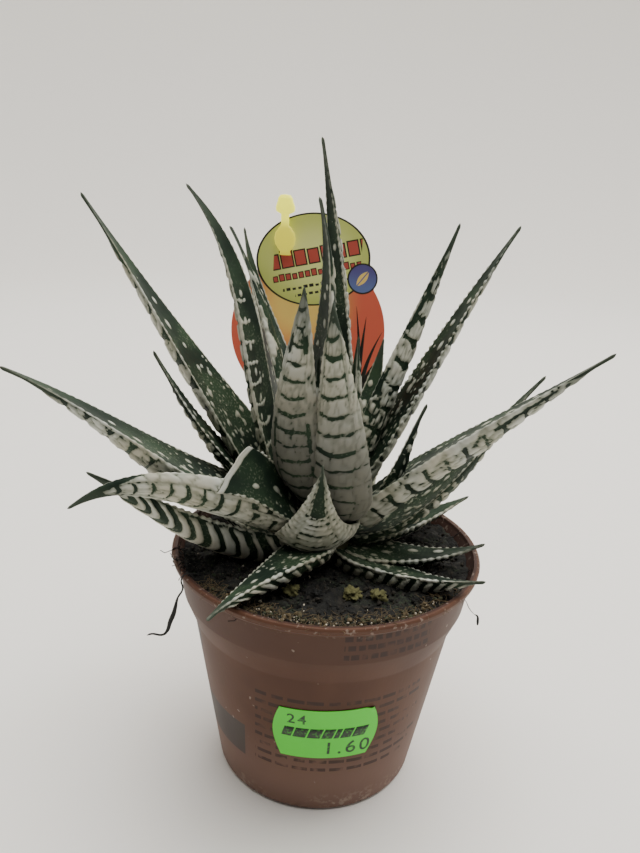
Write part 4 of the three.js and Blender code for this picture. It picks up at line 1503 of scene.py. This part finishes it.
def makePlantLabel(label):
    sectors, rings, middle = 240, 10, label["middle"]
    half = label["thick"] / 2
    fields = [label[name] for name in ("oval", "round", "disc")]
    outline = []
    for step in range(sectors):
        angle = 2 * math.pi * step / sectors
        reach = max(reachTo(field, middle, angle) for field in fields)
        outline.append((math.cos(angle) * reach, math.sin(angle) * reach))
    points, flat = [], []
    for z in (-half, half):
        points.append(fromLabel(*middle, z))
        flat.append(middle)
        for ring in range(1, rings + 1):
            for dx, dy in outline:
                x, y = middle[0] + dx * ring / rings, middle[1] + dy * ring / rings
                points.append(fromLabel(x, y, z))
                flat.append((x, y))
    total = len(points) // 2
    faces = []
    for step in range(sectors):
        after = (step + 1) % sectors
        faces.append((0, 1 + after, 1 + step))
        faces.append((total, total + 1 + step, total + 1 + after))
        for ring in range(rings - 1):
            low = 1 + ring * sectors
            faces.append((low + step, low + after, low + sectors + after, low + sectors + step))
            top = total + low
            faces.append((top + step, top + sectors + step, top + sectors + after, top + after))
        edge = 1 + (rings - 1) * sectors
        faces.append((edge + step, edge + after, total + edge + after, total + edge + step))
    card = newPiece("printedCard", points, faces, makeCardMaterial(label))
    layer = card.data.uv_layers.new(name="UVMap")
    for loop in card.data.loops:
        x, y = flat[loop.vertex_index]
        layer.data[loop.index].uv = (x / label["sheet"] + 0.5, y / label["sheet"] + 0.5)
    front = card.data.attributes.new("front", "FLOAT", "POINT")
    for index in range(len(points)):
        front.data[index].value = float(index >= total)
    card.data.set_sharp_from_angle(angle=math.radians(40))
    finishPiece(card, "plant_label", "plant_label")
    ink, shader, where = newMaterial("darkPrint")
    shade = colorMix(noiseOf(where, 300.0), label["line"], label["dark"])
    dress(shader, shade, 0.4)
    for number, (footX, footY, height, lean, width) in enumerate(label["blades"]):
        def blade(share, rise, thick):
            bend = footX + lean * rise ** 1.7
            spread = width * (1 - rise ** 1.6) + 0.02
            return fromLabel(bend + (share - 0.5) * 2 * spread, footY + height * rise, half + 0.02 + thick)
        finishPiece(flatSheet(f"printedBlade{number}", 4, 24, blade, 0.03, ink), "plant_label")


makePlantLabel(plantLabel)

stakeShape = {
    # height, x, half width, half thickness, distance in front of the card
    "rows": ((-80.5, -13, 0.7, 0.4, -1.3), (-76, -13.1, 2, 0.6, -1.3), (9.4, -16.5, 2, 0.6, -1.3),
             (11.4, -16.6, 1.4, 0.6, 1.2), (12.2, -16.6, 2.1, 0.7, 1.3), (13.4, -16.7, 2.75, 0.7, 1.4),
             (14.8, -16.75, 2.95, 0.7, 1.4), (16.2, -16.8, 2.7, 0.7, 1.4), (17.4, -16.8, 1.9, 0.7, 1.4),
             (18.4, -16.9, 1.1, 0.6, 1.4), (21.2, -17, 1.1, 0.7, 1.1), (22.2, -17, 2.6, 1.1, 0.8),
             (23, -17, 2.7, 1.2, 0.8), (25.4, -17.1, 2.05, 1.1, 0.8), (26.4, -17.1, 1.5, 0.8, 0.8)),
    "sides": 28,
    "between": 5,  # steps from one row to the next
    "square": 0.55,  # exponent of the section, below 1 for squarer
    "plastic": rgb(254, 252, 84),
    "clip": rgb(210, 202, 66),
    "paintedGlow": 0.75,
    "clipTop": (17.5, 20.5),  # the clip is darker up to here, painted shade where the card is behind it
}


def makeStake(shape):
    material, shader, where = newMaterial("clearYellow")
    cloud = noiseOf(where, 200.0, 2.0)
    low, high = (fromLabel(0, y, 0)[2] * mm for y in shape["clipTop"])
    color = colorMix(ramp(partsOf(where)[2], low, high), shape["clip"], shape["plastic"])
    dress(shader, colorMix(cloud * 0.2, color, shape["clip"]), 0.3)
    # the stake glows, dimmer on the clip: painted light and painted shade
    paintedGlow(shader, color, shape["paintedGlow"])
    shader.inputs["Transmission Weight"].default_value = 0.1
    shader.inputs["IOR"].default_value = 1.45
    rows = []
    for first, second in zip(shape["rows"], shape["rows"][1:]):
        for step in range(shape["between"]):
            share = step / shape["between"]
            eased = share * share * (3 - 2 * share)
            shares = (share, eased, eased, eased, eased)
            rows.append([a + (b - a) * part for a, b, part in zip(first, second, shares)])
    rows.append(shape["rows"][-1])

    def power(value):
        return math.copysign(abs(value) ** shape["square"], value)

    sides = shape["sides"]
    turns = [2 * math.pi * step / sides for step in range(sides)]
    points = [fromLabel(rows[0][1], rows[0][0] - 0.2, rows[0][4])]
    for height, x, width, deep, z in rows:
        for turn in turns:
            across, front = width * power(math.cos(turn)), deep * power(math.sin(turn))
            points.append(fromLabel(x + across, height, z + front))
    points.append(fromLabel(rows[-1][1], rows[-1][0] + 0.25, rows[-1][4]))
    piece = newPiece("clipStake", points, ringFaces(len(rows), sides), material)
    closeUp(piece.data, 0)
    finishPiece(piece, "label_stake", "label_stake")


makeStake(stakeShape)

print("done")
